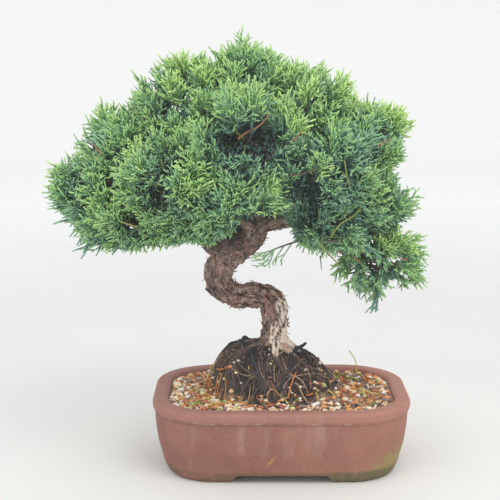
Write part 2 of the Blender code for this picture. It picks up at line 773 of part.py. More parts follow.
def grow_spray(name, mass, direction, limbs, chance, collection):
    """The twig and spray that grow one way in a mass, drawn in until they have room."""
    centre = Vector(MASSES[mass][0])
    roll = chance.uniform(0.0, math.pi)
    spin = Matrix.Rotation(chance.uniform(0.0, math.tau), 3, direction)
    lean = spin @ direction.orthogonal().normalized() * SPRAY_LEAN
    lean.z += SPRAY_LIFT
    share = FURTHEST_SHARE
    while share > MASSES[mass][2] + SPACE_MARGIN:
        tip = scaled(mass, direction, share)
        aim = ((tip - centre).normalized() + lean).normalized()
        length = min(SPRAY_LENGTH, SPRAY_LENGTH_SHARE * (tip - centre).length)
        root = tip - aim * length
        frame = aligned(root, tip, roll)
        outline = [frame @ Vector((a, 0.0, b)) for a, b in spray_outline(length)[1:]]
        outline += [root.lerp(tip, part) for part in SPRAY_MIDDLES]
        if has_room(outline, mass, limbs, SPACE_MARGIN):
            bud = root.lerp(tip, TWIG_INTO_SPRAY)
            return [
                twig_object(name + "_twig", centre, bud, TWIG_RADIUS, collection),
                spray_object(name + "_spray", root, tip, roll, collection),
            ]
        share *= DRAW_IN
    return []


def grow_mass(mass, parts, cutters, limbs, stems):
    """One mass of foliage: stem, core, twigs and sprays fused into a single solid."""
    centre = Vector(MASSES[mass][0])
    chance = random.Random("mass " + mass)
    others = dict(limbs)
    others.update({name: samples for name, samples in stems.items() if name != "stem_" + mass})
    start, heart = stems["stem_" + mass]
    name = "foliage_" + mass
    stem = twig_object(name, Vector(start[:3]), centre, (start[3], heart[3]), parts)
    pieces = []
    dense = MASSES[mass][2] > 0.0
    if dense:
        pieces.append(core_object(name + "_core", mass, others, parts))
    count = SPRAYS_PER_MASS if dense else SPRAYS_PER_WISP
    for index, direction in enumerate(even_directions(count, chance.uniform(0.0, math.tau))):
        if not dense:
            direction.x = -abs(direction.x)
        pieces += grow_spray(f"{name}_{index}", mass, direction, others, chance, parts)
    if mass == "crown_top":
        tip = Vector(LEADER_TIP)
        root = tip - Vector((0.0, 0.0, LEADER_LENGTH))
        pieces.append(spray_object(name + "_leader", root, tip, 0.0, parts))
    fuse(stem, pieces, "MANIFOLD")
    for limb, samples in others.items():
        if min(reach_in_mass(sample[:3], mass) for sample in samples) < NEAR_MASS:
            boolean(stem, limb_cutter(limb, others, cutters), "DIFFERENCE")
    apply_modifiers(stem)
    drop_scraps(stem)
    stem.data.materials.clear()
    stem.data.materials.append(material("foliage"))


def stand_on_origin(parts, cutters):
    """Moves everything so that the origin is under the middle of the bounding box."""
    graph = bpy.context.evaluated_depsgraph_get()
    corners = []
    for obj in parts.objects:
        evaluated = obj.evaluated_get(graph)
        corners += [evaluated.matrix_world @ Vector(corner) for corner in evaluated.bound_box]
    middle = [(min(c[i] for c in corners) + max(c[i] for c in corners)) / 2 for i in range(2)]
    stand = bpy.data.objects.new("stand", None)
    bpy.context.scene.collection.objects.link(stand)
    for obj in [*parts.objects, *cutters.objects]:
        obj.parent = stand
    stand.location = (-middle[0], -middle[1], 0.0)
    for axis, way in enumerate("xyz"):
        low, high = min(c[axis] for c in corners), max(c[axis] for c in corners)
        print(f"from the pot's middle, {way} runs from {low:.5f} to {high:.5f}")


def main():
    clear_scene()
    parts = new_collection("juniper_bonsai")
    cutters = new_collection("cutters")
    make_pot(parts, cutters)
    soil = make_soil(parts)
    limbs = {"trunk": trunk_samples()}
    make_trunk(parts, cutters, soil)
    make_boughs(parts, cutters, limbs)
    stems = {"stem_" + mass: stem_samples(mass, limbs) for mass in MASSES}
    for mass in MASSES:
        grow_mass(mass, parts, cutters, limbs, stems)
    stand_on_origin(parts, cutters)


main()
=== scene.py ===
"""Looks of the potted Chinese juniper bonsai: bark, foliage, soil and pot round its frame.

Metres, +Z up, the viewer on the -Y side. Places are given from the middle of the pot's footprint,
as in the part's own source, and each piece is then moved to where the frame has its pot.
"""

import math
import random
from itertools import product

import bmesh
import bpy
import numpy as np
from mathutils import Matrix, Vector
from mathutils.kdtree import KDTree


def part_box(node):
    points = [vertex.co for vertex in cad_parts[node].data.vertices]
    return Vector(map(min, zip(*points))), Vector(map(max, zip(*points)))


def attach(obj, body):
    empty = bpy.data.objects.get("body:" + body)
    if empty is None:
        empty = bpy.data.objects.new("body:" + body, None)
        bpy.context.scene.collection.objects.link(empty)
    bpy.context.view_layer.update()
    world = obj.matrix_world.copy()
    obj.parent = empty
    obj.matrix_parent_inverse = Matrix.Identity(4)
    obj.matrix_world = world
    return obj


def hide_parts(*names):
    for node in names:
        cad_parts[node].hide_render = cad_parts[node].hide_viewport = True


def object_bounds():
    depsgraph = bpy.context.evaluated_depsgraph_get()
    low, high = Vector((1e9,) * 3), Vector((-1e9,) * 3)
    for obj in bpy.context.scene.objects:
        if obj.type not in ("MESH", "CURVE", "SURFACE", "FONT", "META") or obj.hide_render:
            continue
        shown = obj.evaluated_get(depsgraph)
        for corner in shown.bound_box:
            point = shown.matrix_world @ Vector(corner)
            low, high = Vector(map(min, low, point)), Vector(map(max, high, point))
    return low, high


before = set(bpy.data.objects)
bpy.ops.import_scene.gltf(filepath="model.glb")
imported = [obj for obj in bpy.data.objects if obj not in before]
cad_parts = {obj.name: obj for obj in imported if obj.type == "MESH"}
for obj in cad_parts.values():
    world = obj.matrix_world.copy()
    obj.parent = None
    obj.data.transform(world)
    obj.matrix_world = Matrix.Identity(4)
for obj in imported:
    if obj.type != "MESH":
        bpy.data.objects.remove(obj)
CAD_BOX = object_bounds()
POT_LOW, POT_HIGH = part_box("pot")
MIDDLE = Vector(((POT_LOW.x + POT_HIGH.x) / 2, (POT_LOW.y + POT_HIGH.y) / 2, 0.0))

# Sizes that the frame's own source has too
TREE_HEIGHT = 0.350
POT_HALF_LENGTH = 0.1025
POT_HALF_DEPTH = 0.0738
POT_CORNER_RADIUS = 0.0505
POT_HEIGHT = 0.0594
FOOT_HEIGHT = 0.0066
FLOOR_TOP = 0.0140
SLOT_HALF_X = (0.0446, 0.0350)
SLOT_HALF_Y = (0.026, 0.021)
DRAIN_HOLE_RADIUS = 0.007
DRAIN_HOLE_X = 0.042
POT_OUTSIDE = (
    (0.0146, 0.0000),
    (0.0116, 0.0027),
    (0.0086, 0.0092),
    (0.0080, 0.0125),
    (0.0046, 0.0245),
    (0.0027, 0.0375),
    (0.0018, 0.0500),
    (0.0003, 0.0517),
    (0.0000, 0.0573),
    (0.0018, POT_HEIGHT),
)
POT_INSIDE = (
    (0.0105, POT_HEIGHT),
    (0.0125, 0.0578),
    (0.0150, 0.0320),
    (0.0190, FLOOR_TOP),
)
BED_HEIGHT = 0.0568
MOUND_CENTRE = (-0.0059, 0.0020)
MOUND_HEIGHT = 0.0378
MOUND_TOP_RADIUS = 0.0109
# Reach of each side from the mound's centre, and how much its slope bulges
MOUND_SIDES = {
    "right": (0.0620, 1.25),
    "back": (0.0435, 1.40),
    "left": (0.0555, 5.00),
    "front": (0.0418, 1.40),
}
# The main stones of the gravel: a lattice of points of which one in three is a stone's top
STONE_SPACING = 0.0056
STONE_JITTER = 0.0010
STONE_TOPS = (0.0008, 0.0024)
STONE_GAPS = (-0.0014, 0.0)
STONES_FROM_WALL = 0.0022
STONES_FROM_MOUND = 0.0030
STONES_FROM_ROOTS = 0.0060
TRUNK_WAYPOINTS = (
    (-0.0059, 0.0000, 0.0941, 0.0139),
    (-0.0056, 0.0000, 0.0995, 0.0111),
    (-0.0051, 0.0000, 0.1084, 0.0099),
    (-0.0050, 0.0000, 0.1183, 0.0097),
    (-0.0061, 0.0005, 0.1282, 0.0102),
    (-0.0134, 0.0010, 0.1347, 0.0097),
    (-0.0238, 0.0020, 0.1356, 0.0091),
    (-0.0347, 0.0020, 0.1356, 0.0093),
    (-0.0446, 0.0010, 0.1399, 0.0101),
    (-0.0497, 0.0000, 0.1492, 0.0105),
    (-0.0487, -0.0010, 0.1589, 0.0108),
    (-0.0431, -0.0020, 0.1688, 0.0117),
    (-0.0337, -0.0020, 0.1782, 0.0121),
    (-0.0238, -0.0010, 0.1866, 0.0111),
    (-0.0168, 0.0010, 0.1985, 0.0093),
    (-0.0163, 0.0040, 0.2144, 0.0079),
    (-0.0223, 0.0059, 0.2342, 0.0065),
    (-0.0297, 0.0050, 0.2559, 0.0052),
    (-0.0337, 0.0020, 0.2767, 0.0040),
    (-0.0317, -0.0020, 0.2936, 0.0027),
)
TRUNK_STEPS = 2
ROOT_COUNT = 7
ROOT_TOP_HEIGHT = 0.1010
ROOT_RADIUS = (0.0050, 0.0011)
ROOT_THINNEST = 0.62
ROOT_SPREAD = 0.30
ROOT_BEND = 0.7
ROOT_START = 0.009
ROOT_REACH = (0.026, 0.044)
ROOT_STANDING = 0.45
ROOT_DIVE = 0.0015
ROOT_STEPS = 7

# Each mass of foliage: centre and half sizes of its space, how high its colour lies on the scale from painted
# shade to fresh tips, partly painted light and shade on the whole mass, and how far its sprays lift towards
# the light
MASSES = {
    "crown_top": ((-0.0297, -0.0040, 0.3064), (0.0455, 0.0436, 0.0366), 0.7, 0.55),
    "upper_left": ((-0.0713, -0.0139, 0.2906), (0.0446, 0.0495, 0.0396), 0.5, 0.45),
    "upper_right": ((0.0188, -0.0099, 0.2847), (0.0465, 0.0495, 0.0406), 0.7, 0.45),
    "front_high": ((-0.0277, -0.0653, 0.2688), (0.0495, 0.0396, 0.0416), 0.1, 0.40),
    "left_high": ((-0.1208, -0.0059, 0.2559), (0.0465, 0.0475, 0.0366), 0.2, 0.35),
    "left_tip": ((-0.1416, -0.0198, 0.2272), (0.0446, 0.0416, 0.0317), 0.2, 0.20),
    "left_low": ((-0.1168, -0.0376, 0.2035), (0.0446, 0.0396, 0.0248), 0.4, 0.00),
    "low_mid": ((-0.0693, -0.0475, 0.2064), (0.0356, 0.0356, 0.0238), 0.4, 0.05),
    "front_left": ((-0.0812, -0.0614, 0.2391), (0.0455, 0.0396, 0.0376), 0.4, 0.35),
    "front_low": ((-0.0356, -0.0743, 0.2243), (0.0416, 0.0327, 0.0307), 0.1, 0.15),
    "right_front": ((0.0297, -0.0554, 0.2451), (0.0495, 0.0436, 0.0416), 0.1, 0.30),
    "right_high": ((0.0653, -0.0050, 0.2629), (0.0416, 0.0475, 0.0317), 0.5, 0.45),
    "right_tip": ((0.0693, -0.0139, 0.2173), (0.0416, 0.0475, 0.0356), 0.3, 0.20),
    "right_inner": ((0.0416, -0.0436, 0.2035), (0.0396, 0.0396, 0.0267), -0.2, 0.00),
    "right_low": ((0.0782, -0.0208, 0.1678), (0.0386, 0.0376, 0.0307), 0.3, -0.25),
    "back_high": ((-0.0297, 0.0594, 0.2728), (0.0515, 0.0455, 0.0416), 0.5, 0.45),
    "back_left": ((-0.0950, 0.0475, 0.2332), (0.0495, 0.0436, 0.0396), 0.3, 0.35),
    "back_right": ((0.0416, 0.0525, 0.2332), (0.0515, 0.0455, 0.0396), 0.3, 0.35),
    "back_low": ((-0.0277, 0.0673, 0.2134), (0.0495, 0.0396, 0.0337), 0.1, 0.10),
    "wisp": ((-0.0050, -0.0277, 0.1728), (0.0208, 0.0119, 0.0119), 0.1, -0.10),
}

# Each bough: parent limb, share along it, mass, base and tip radius, rise of its middle
BOUGHS = {
    "bough_left_low": ("trunk", 0.56, "left_low", 0.0062, 0.0024, 0.010),
    "bough_low_mid": ("trunk", 0.62, "low_mid", 0.0042, 0.0020, -0.002),
    "bough_left_tip": ("trunk", 0.745, "left_tip", 0.0046, 0.0022, 0.006),
    "bough_front_left": ("bough_left_tip", 0.24, "front_left", 0.0036, 0.0020, 0.004),
    "bough_front_low": ("trunk", 0.675, "front_low", 0.0044, 0.0020, 0.000),
    "bough_right_low": ("trunk", 0.685, "right_low", 0.0052, 0.0022, 0.016),
    "bough_right_inner": ("bough_right_low", 0.22, "right_inner", 0.0036, 0.0020, 0.004),
    "bough_back_low": ("trunk", 0.735, "back_low", 0.0040, 0.0020, 0.004),
    "bough_right_tip": ("trunk", 0.770, "right_tip", 0.0044, 0.0022, 0.010),
    "bough_right_front": ("trunk", 0.795, "right_front", 0.0040, 0.0020, 0.004),
    "bough_back_left": ("trunk", 0.800, "back_left", 0.0040, 0.0020, 0.006),
    "bough_back_right": ("trunk", 0.830, "back_right", 0.0038, 0.0020, 0.004),
    "bough_left_high": ("trunk", 0.845, "left_high", 0.0038, 0.0020, 0.004),
    "bough_right_high": ("trunk", 0.870, "right_high", 0.0034, 0.0018, 0.004),
    "bough_front_high": ("trunk", 0.885, "front_high", 0.0032, 0.0018, 0.002),
    "bough_back_high": ("trunk", 0.905, "back_high", 0.0032, 0.0018, 0.002),
    "bough_upper_left": ("trunk", 0.925, "upper_left", 0.0028, 0.0016, 0.002),
    "bough_upper_right": ("trunk", 0.955, "upper_right", 0.0026, 0.0016, 0.002),
    "bough_wisp": ("bough_right_low", 0.40, "wisp", 0.0013, 0.0009, -0.002),
}
BOUGH_STEPS = 6
BOUGH_ENTRY = 0.82
BOUGH_LONGEST_SHARE = 0.9
BOUGH_SWAY = 0.004
LEADER_TIP = (-0.0307, -0.0040, TREE_HEIGHT)
GOLDEN_ANGLE = math.pi * (3.0 - math.sqrt(5.0))

# How finely the visible pieces are made
POT_ARC_STEPS = 26
PROFILE_STEP = 0.0011
PROFILE_ROUNDS = 2
TRUNK_VOXEL = 0.0005
GRAVEL_DEPTH = 0.0015
PEBBLE_SIZES = (0.0012, 0.0014, 0.0017, 0.0020, 0.0023, 0.0026)
# On the mound lie only small stones: the rise that it starts at, their largest size, the rise
# that they reach, and the share of tries that stay on its foot and higher up
MOUND_STONE_RISES = (0.004, 0.012, 0.038)
MOUND_STONE_SIZE = 0.0022
MOUND_STONE_SHARES = (0.6, 0.14)
SOIL_RINGS = 150
SOIL_SPOKES = 420
# The soil's hidden side: how far it stands from the pot's wall, and its heights
SOIL_FROM_WALL = 0.0006
SOIL_WALL = (FLOOR_TOP + 0.0006, 0.0300)
# The sharpest edges, in degrees, that are still shaded smooth
POT_SMOOTH = 40.0
GRAVEL_SMOOTH = 28.0
# How many pieces of each kind of ground cover, or how many tries at them
PEBBLES = 1700
FINE_ROOTS = 760
NEEDLE_TRIES = 620
CHIP_TRIES = 110
FLAKE_TRIES = 1900
FLAKE_THICKNESS = 0.00016
# How far the bark's grain turns round a limb, in radians to a metre
BARK_TWIST = 18.0
# Keeps a division by a length of zero away
TINY = 1e-12
# Mottled surfaces: roughness, scale and detail of the patches, their steps, strength of the bump
ROOT_SKIN = (0.88, 700.0, 4.0, 0.35, 0.70, 0.5)
DRY_LEAF = (0.70, 480.0, 3.0, 0.38, 0.68, 0.3)
DRY_BARK = (0.90, 480.0, 3.0, 0.38, 0.68, 0.3)
WIRE_COATING = (0.45, 900.0, 3.0, 0.52, 0.74, 0.13)

# Foliage: tufts on a mass, sprays on a tuft, and the shoots of a spray
TUFTS = 32
SPRAYS_PER_TUFT = 11
SPRAY_LENGTH = 0.0200
TUFT_LENGTH = 0.016
TUFT_RISE = 0.25
TUFT_BASE_REACH = 0.80
SHOOT_RADIUS = 0.00072
SPRAY_PATTERNS = 14
# A spray is made smaller up to some times, by a share, until it has room
SPRAY_TRIES = 5
SPRAY_SHRINK = 0.84
# A tuft moves in by a share until it has room, but not nearer to the heart than another share
TUFT_SHRINK = 0.95
TUFT_NEAREST = 0.42
CROWN_HEART = (-0.030, 0.0, 0.205)
# Spaces in front of which no spray stands, as the picture shows them: place and half size in its
# pixels, and how far back they reach. They are the hollows, the bare trunk, sky holes and notches.
OPENINGS = (
    (259, 147, 24, 9, -0.066), (160, 156, 8, 6, -0.065), (161, 202, 6, 10, -0.065),
    (109, 182, 8, 4, -0.035), (310, 203, 10, 26, -0.058), (301, 224, 9, 8, -0.048),
    (377, 231, 13, 6, -0.038), (226, 138, 12, 5, -0.074), (231, 248, 20, 12, -0.02),
    (250, 231, 14, 16, -0.02), (267, 228, 16, 14, -0.02), (283, 236, 13, 10, -0.02),
    (275, 262, 25, 12, 1.0), (416, 332, 42, 44, 1.0), (408, 171, 16, 9, 1.0), (366, 89, 11, 11, 1.0),
    (145, 56, 12, 10, 1.0), (118, 290, 78, 38, 1.0), (190, 284, 42, 41, 1.0), (402, 188, 3, 2, 1.0),
    (49, 233, 18, 22, 1.0), (340, 254, 3, 3, 1.0), (370, 243, 3, 2, 1.0), (389, 239, 2, 2, 1.0),
    (351, 264, 3, 2, 1.0), (354, 271, 3, 2, 1.0), (370, 264, 3, 2, 1.0), (377, 268, 2, 2, 1.0),
    (391, 261, 2, 2, 1.0), (400, 260, 3, 2, 1.0), (401, 248, 2, 2, 1.0), (404, 224, 4, 3, 1.0),
    (411, 235, 2, 2, 1.0), (403, 274, 3, 2, 1.0), (394, 284, 4, 3, 1.0), (384, 288, 2, 3, 1.0),
    (362, 256, 2, 2, 1.0), (367, 276, 2, 2, 1.0), (417, 148, 14, 14, 1.0), (392, 93, 21, 8, 1.0),
    (57, 153, 13, 9, 1.0), (62, 251, 17, 14, 1.0), (93, 145, 6, 4, 1.0), (133, 224, 5, 4, 1.0),
)
# How many of a spray's sampled points may still lie in a large opening
OPENING_SLACK = 2
LARGE_OPENING = 5.0
# Places where shade is painted into the sprays' colour, as the inside of the crown is darker in the picture:
# place and half size in its pixels
SHADED = ((309, 208, 28, 24), (258, 147, 36, 15), (160, 157, 15, 11), (230, 230, 28, 9), (226, 180, 20, 8),
          (258, 176, 30, 30), (352, 152, 34, 26))
SHADE_DEPTH = 1.7
# Twigs that show between the sprays: places, radius at both ends and colour
SHOWN_TWIGS = (
    (
        ((-0.0337, -0.078, 0.2683), (-0.0257, -0.080, 0.2742), (-0.0185, -0.084, 0.2781),
         (-0.0106, -0.086, 0.2869)),
        0.0010, 0.0005, 1,
    ),
    (((0.0041, -0.080, 0.2655), (0.0082, -0.084, 0.2695), (0.0124, -0.088, 0.2748)), 0.0007, 0.0005, 1),
    (((0.0039, -0.086, 0.2426), (0.0138, -0.088, 0.2443), (0.0251, -0.090, 0.2491)), 0.0008, 0.0005, 2),
    (((0.0683, -0.070, 0.2627), (0.0735, -0.066, 0.2643), (0.0784, -0.060, 0.2663)), 0.0006, 0.0005, 1),
    (((0.0432, -0.088, 0.2537), (0.0447, -0.089, 0.2437), (0.0479, -0.086, 0.2325)), 0.0005, 0.0004, 3),
    (((0.0348, -0.068, 0.1943), (0.0423, -0.070, 0.2048), (0.0542, -0.070, 0.2129), (0.0622, -0.066, 0.2260)),
     0.0008, 0.0004, 3),
    (((0.0296, -0.070, 0.1927), (0.0360, -0.073, 0.1922), (0.0424, -0.070, 0.1934)), 0.0009, 0.0006, 0),
    (((0.0284, -0.068, 0.1891), (0.0330, -0.062, 0.1815), (0.0406, -0.050, 0.1724)), 0.0007, 0.0005, 3),
    (((0.0529, -0.056, 0.1772), (0.0593, -0.052, 0.1726)), 0.0008, 0.0006, 1),
    (((0.0880, -0.050, 0.1756), (0.0953, -0.050, 0.1735)), 0.0006, 0.0005, 1),
    (((-0.1218, -0.070, 0.2067), (-0.1148, -0.072, 0.2046), (-0.1082, -0.072, 0.2025)), 0.0006, 0.0005, 3),
    (((-0.1430, -0.046, 0.2617), (-0.1398, -0.048, 0.2582), (-0.1359, -0.050, 0.2539)), 0.0006, 0.0005, 1),
    (((0.0282, -0.052, 0.1773), (0.0291, -0.050, 0.1707), (0.0296, -0.048, 0.1661)), 0.0005, 0.0003, 0),
)
# Half size in the picture's pixels of the place that a twig is seen in, and how much of it is seen
TWIG_ROOM = 1.7
TWIG_SHOWN = 0.6
# How far the mass under the leader's tip is filled, so that the leader stands out of it
LEADER_CREST = 0.86
# Sprays of the leader: size, distance under its tip and lean
LEADER_SPRAYS = (
    (0.95, 0.0, 0.0), (0.6, 0.005, -0.45), (0.6, 0.007, 0.45), (0.8, 0.010, -0.25), (0.8, 0.012, 0.2),
)
# Share of the usual number of tufts, and long shoots under the mass
THINNED = {"right_low": 1.25, "right_inner": 0.9, "left_low": 0.9, "upper_left": 1.2, "back_high": 0.85,
           "back_left": 0.85, "back_right": 0.85, "back_low": 0.85}
STRAGGLERS = {"left_low": 22, "left_tip": 12, "right_low": 26, "right_inner": 16, "right_tip": 8}
WISP_STEM = ((0.0275, -0.0340, 0.1913), (0.0184, -0.0300, 0.1867), (0.0076, -0.0300, 0.1836),
             (-0.0017, -0.0300, 0.1804), (-0.0079, -0.0300, 0.1780))
WISP_SHOOTS = (
    ((-0.0009, -0.0300, 0.1804), (-0.0125, -0.0310, 0.1765), (-0.0203, -0.0320, 0.1757)),
    ((-0.0048, -0.0300, 0.1790), (-0.0141, -0.0300, 0.1733), (-0.0234, -0.0300, 0.1741)),
    ((-0.0079, -0.0300, 0.1780), (-0.0156, -0.0290, 0.1702), (-0.0242, -0.0280, 0.1694)),
    ((-0.0060, -0.0300, 0.1785), (-0.0133, -0.0310, 0.1686), (-0.0203, -0.0320, 0.1646)),
    ((-0.0065, -0.0300, 0.1782), (-0.0094, -0.0280, 0.1686), (-0.0141, -0.0270, 0.1640)),
    ((0.0014, -0.0300, 0.1812), (-0.0040, -0.0310, 0.1733), (-0.0079, -0.0320, 0.1678)),
    ((0.0076, -0.0300, 0.1836), (0.0022, -0.0290, 0.1749), (-0.0016, -0.0280, 0.1686)),
)

# Camera
CAMERA_PLACE = (-0.02495, -1.0000, 0.34734)
CAMERA_TILT_DEG = 9.9
LENS = 91.4
SENSOR = 36.0
PICTURE_SIDE = 500
CAMERA_TILT = math.radians(CAMERA_TILT_DEG)
FOCAL_PIXELS = PICTURE_SIDE * LENS / SENSOR
# Size of a pixel at the tree
PIXEL_SIZE = 1.0 / FOCAL_PIXELS
HAZE = 0.018


def srgb(red, green, blue):
    """Scene-linear colour of an 8-bit display colour."""
    return tuple(
        c / 12.92 if c <= 0.04045 else ((c + 0.055) / 1.055) ** 2.4
        for c in (value / 255.0 for value in (red, green, blue))
    )


# Meshes from arrays


class Heap:
    """Collects many small closed shapes and makes one mesh object of them."""

    def __init__(self):
        self.points, self.faces, self.kinds = [], [], []
        self.count = 0

    def add(self, points, faces, kind=0):
        """Adds one shape. Kind is the place of its material in the object's list."""
        points = np.asarray(points, float).reshape(-1, 3)
        faces = np.asarray(faces, np.int64).reshape(-1, 3)
        self.points.append(points)
        self.faces.append(faces + self.count)
        self.kinds.append(np.broadcast_to(np.asarray(kind), (len(faces),)))
        self.count += len(points)

    def build(self, name, materials, smooth=True):
        """The object with everything added so far."""
        points = np.concatenate(self.points)
        faces = np.concatenate(self.faces)
        return array_object(name, points, faces, materials, np.concatenate(self.kinds), smooth)


def array_object(name, points, faces, materials, kinds=None, smooth=True):
    """A mesh object from an array of points and an array of triangles."""
    mesh = bpy.data.meshes.new(name)
    mesh.vertices.add(len(points))
    mesh.vertices.foreach_set("co", np.asarray(points, np.float32).ravel())
    mesh.loops.add(faces.size)
    mesh.loops.foreach_set("vertex_index", np.asarray(faces, np.int32).ravel())
    mesh.polygons.add(len(faces))
    mesh.polygons.foreach_set("loop_start", np.arange(0, faces.size, 3, dtype=np.int32))
    for item in materials:
        mesh.materials.append(item)
    if kinds is not None:
        mesh.polygons.foreach_set("material_index", np.asarray(kinds, np.int32))
    mesh.update(calc_edges=True)
    if smooth:
        mesh.shade_smooth()
    obj = bpy.data.objects.new(name, mesh)
    bpy.context.scene.collection.objects.link(obj)
    return obj


def finish_piece(obj, slot, *nodes):
    """Moves a piece to the frame's pot, makes it ride on the root, and hides the frame's pieces that it
    stands for; the slot is not used.
    """
    obj.location = MIDDLE
    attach(obj, "root")
    if nodes:
        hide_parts(*nodes)
    return obj


def loft(count, rings):
    """Triangles of a closed skin over rings of points, with a fan over both ends."""
    a = (np.arange(rings - 1)[:, None] * count + np.arange(count)).ravel()
    b = (np.arange(rings - 1)[:, None] * count + (np.arange(count) + 1) % count).ravel()
    sides = np.stack([a, b, b + count, a, b + count, a + count], axis=1).reshape(-1, 3)
    k, last = np.arange(1, count - 1), (rings - 1) * count
    caps = np.stack([0 * k, k + 1, k, last + 0 * k, last + k, last + k + 1], axis=1).reshape(-1, 3)
    return np.concatenate([sides, caps])


def tube(points, radii, sides):
    """Points and triangles of a closed tube along a path."""
    points = np.asarray(points, float)
    tangents = np.gradient(points, axis=0)
    tangents /= np.linalg.norm(tangents, axis=1)[:, None] + TINY
    across = np.cross(tangents[0], (0.0, 0.0, 1.0) if abs(tangents[0][2]) < 0.9 else (1.0, 0.0, 0.0))
    angles = np.arange(sides)[:, None] * math.tau / sides
    rings = []
    for point, tangent, radius in zip(points, tangents, radii):
        across = across - tangent * across.dot(tangent)
        across /= np.linalg.norm(across) + TINY
        rings.append(point + radius * (np.cos(angles) * across + np.sin(angles) * np.cross(tangent, across)))
    return np.concatenate(rings), loft(sides, len(points))


# Noise


def hashed(cells, seed):
    """A number from -1 to 1 for each whole cell, always the same for the same cell."""
    x, y, z = (cells[:, i].astype(np.uint64) for i in range(3))
    mixed = x * np.uint64(73856093) ^ y * np.uint64(19349663) ^ z * np.uint64(83492791)
    mixed ^= np.uint64(seed * 2654435761 % 2**32)
    mixed = (mixed ^ (mixed >> np.uint64(15))) * np.uint64(2246822519)
    mixed = (mixed ^ (mixed >> np.uint64(13))) * np.uint64(3266489917)
    mixed ^= mixed >> np.uint64(16)
    return (mixed % np.uint64(65536)).astype(float) / 32767.5 - 1.0


def noise(points, seed=0):
    """Smooth noise from -1 to 1 at an array of points, one cell to a unit."""
    base = np.floor(points)
    part = points - base
    part = part * part * (3.0 - 2.0 * part)
    cells = base.astype(np.int64)
    total = np.zeros(len(points))
    for corner in product((0, 1), repeat=3):
        weight = np.ones(len(points))
        for axis, side in enumerate(corner):
            weight = weight * (part[:, axis] if side else 1.0 - part[:, axis])
        total += weight * hashed(cells + np.array(corner), seed)
    return total


def layered(points, seed=0, layers=3, gain=0.5):
    """Noise with finer and weaker layers added."""
    total, size, strength = np.zeros(len(points)), 1.0, 1.0
    for layer in range(layers):
        total += strength * noise(points * size, seed + layer)
        size *= 2.03
        strength *= gain
    return total


def ramp(value, low, high):
    """Smooth step from 0 at low to 1 at high."""
    t = np.clip((value - low) / (high - low), 0.0, 1.0)
    return t * t * (3.0 - 2.0 * t)


# Materials


class Graph:
    """Short calls for the nodes of one Principled material. Colours are 8-bit display colours."""

    def __init__(self, name, roughness=0.8, colour=(128, 128, 128)):
        self.material = bpy.data.materials.new(name)
        self.material.use_nodes = True
        self.material.diffuse_color = (*srgb(*colour), 1.0)
        self.tree = self.material.node_tree
        self.shader = self.tree.nodes["Principled BSDF"]
        self.shader.inputs["Roughness"].default_value = roughness
        self.base = colour

    def node(self, kind, settings=None, **inputs):
        """A new node, with its settings and its inputs given or linked by name or place."""
        made = self.tree.nodes.new(kind)
        for key, value in (settings or {}).items():
            setattr(made, key, value)
        for key, value in inputs.items():
            self.feed(made.inputs[int(key[1:])] if key[1:].isdigit() else made.inputs[key], value)
        return made

    def feed(self, socket, value):
        """Links a socket, or gives it a value."""
        if isinstance(value, bpy.types.NodeSocket):
            self.tree.links.new(value, socket)
        else:
            socket.default_value = (*srgb(*value), 1.0) if socket.type == "RGBA" else value

    def spots(self, scale, detail=3.0, roughness=0.55, stretch=(1.0, 1.0, 1.0), layer=None):
        """Noise from 0 to 1 over the object's coordinates, or over a vector stored on the mesh."""
        if layer:
            source = self.node("ShaderNodeAttribute", {"attribute_name": layer}).outputs["Vector"]
        else:
            source = self.node("ShaderNodeTexCoord").outputs["Object"]
        place = self.node("ShaderNodeMapping", Vector=source, Scale=stretch).outputs[0]
        return self.node(
            "ShaderNodeTexNoise", Vector=place, Scale=scale, Detail=detail, Roughness=roughness
        ).outputs[0]

    def axes(self):
        """The three object coordinates as numbers."""
        source = self.node("ShaderNodeTexCoord").outputs["Object"]
        return self.node("ShaderNodeSeparateXYZ", _0=source).outputs

    def value(self, name):
        """A number stored on the mesh."""
        return self.node("ShaderNodeAttribute", {"attribute_name": name}).outputs["Fac"]

    def step(self, value, low, high):
        """Smooth step from 0 at low to 1 at high, also where high lies below low."""
        settings = {"interpolation_type": "SMOOTHSTEP"}
        return self.node("ShaderNodeMapRange", settings, _0=value, _1=low, _2=high).outputs[0]

    def math(self, operation, first, second=0.0):
        """One sum on two numbers."""
        return self.node("ShaderNodeMath", {"operation": operation}, _0=first, _1=second).outputs[0]

    def product(self, first, *others):
        """Several numbers multiplied."""
        for other in others:
            first = self.math("MULTIPLY", first, other)
        return first

    def distance(self, value, middle):
        """How far a number lies from another."""
        return self.math("ABSOLUTE", self.math("SUBTRACT", value, middle))

    def mix(self, factor, first, second):
        """A mix of two colours."""
        settings = {"data_type": "RGBA", "blend_type": "MIX"}
        return self.node("ShaderNodeMix", settings, _0=factor, _6=first, _7=second).outputs[2]

    def coat(self, colour, *masks):
        """Lays a colour over the surface's own, as strongly as the masks' product."""
        self.base = self.mix(self.product(*masks), self.base, colour)

    def done(self, height=None, strength=0.0, depth=0.0):
        """The finished material, with its colour and with bump by a height."""
        self.feed(self.shader.inputs["Base Color"], self.base)
        if height is not None:
            bump = self.node("ShaderNodeBump", Strength=strength, Distance=depth, Height=height)
            self.feed(self.shader.inputs["Normal"], bump.outputs[0])
        return self.material


# Pale marks that water left on the front: middle, half width, lower end and strength
WATER_MARKS = (
    (-0.0300, 0.0075, 0.022, 0.34),
    (0.0050, 0.0070, 0.018, 0.46),
    (-0.0120, 0.0040, 0.022, 0.22),
    (0.0190, 0.0080, 0.024, 0.20),
    (-0.0790, 0.0060, 0.030, 0.22),
)


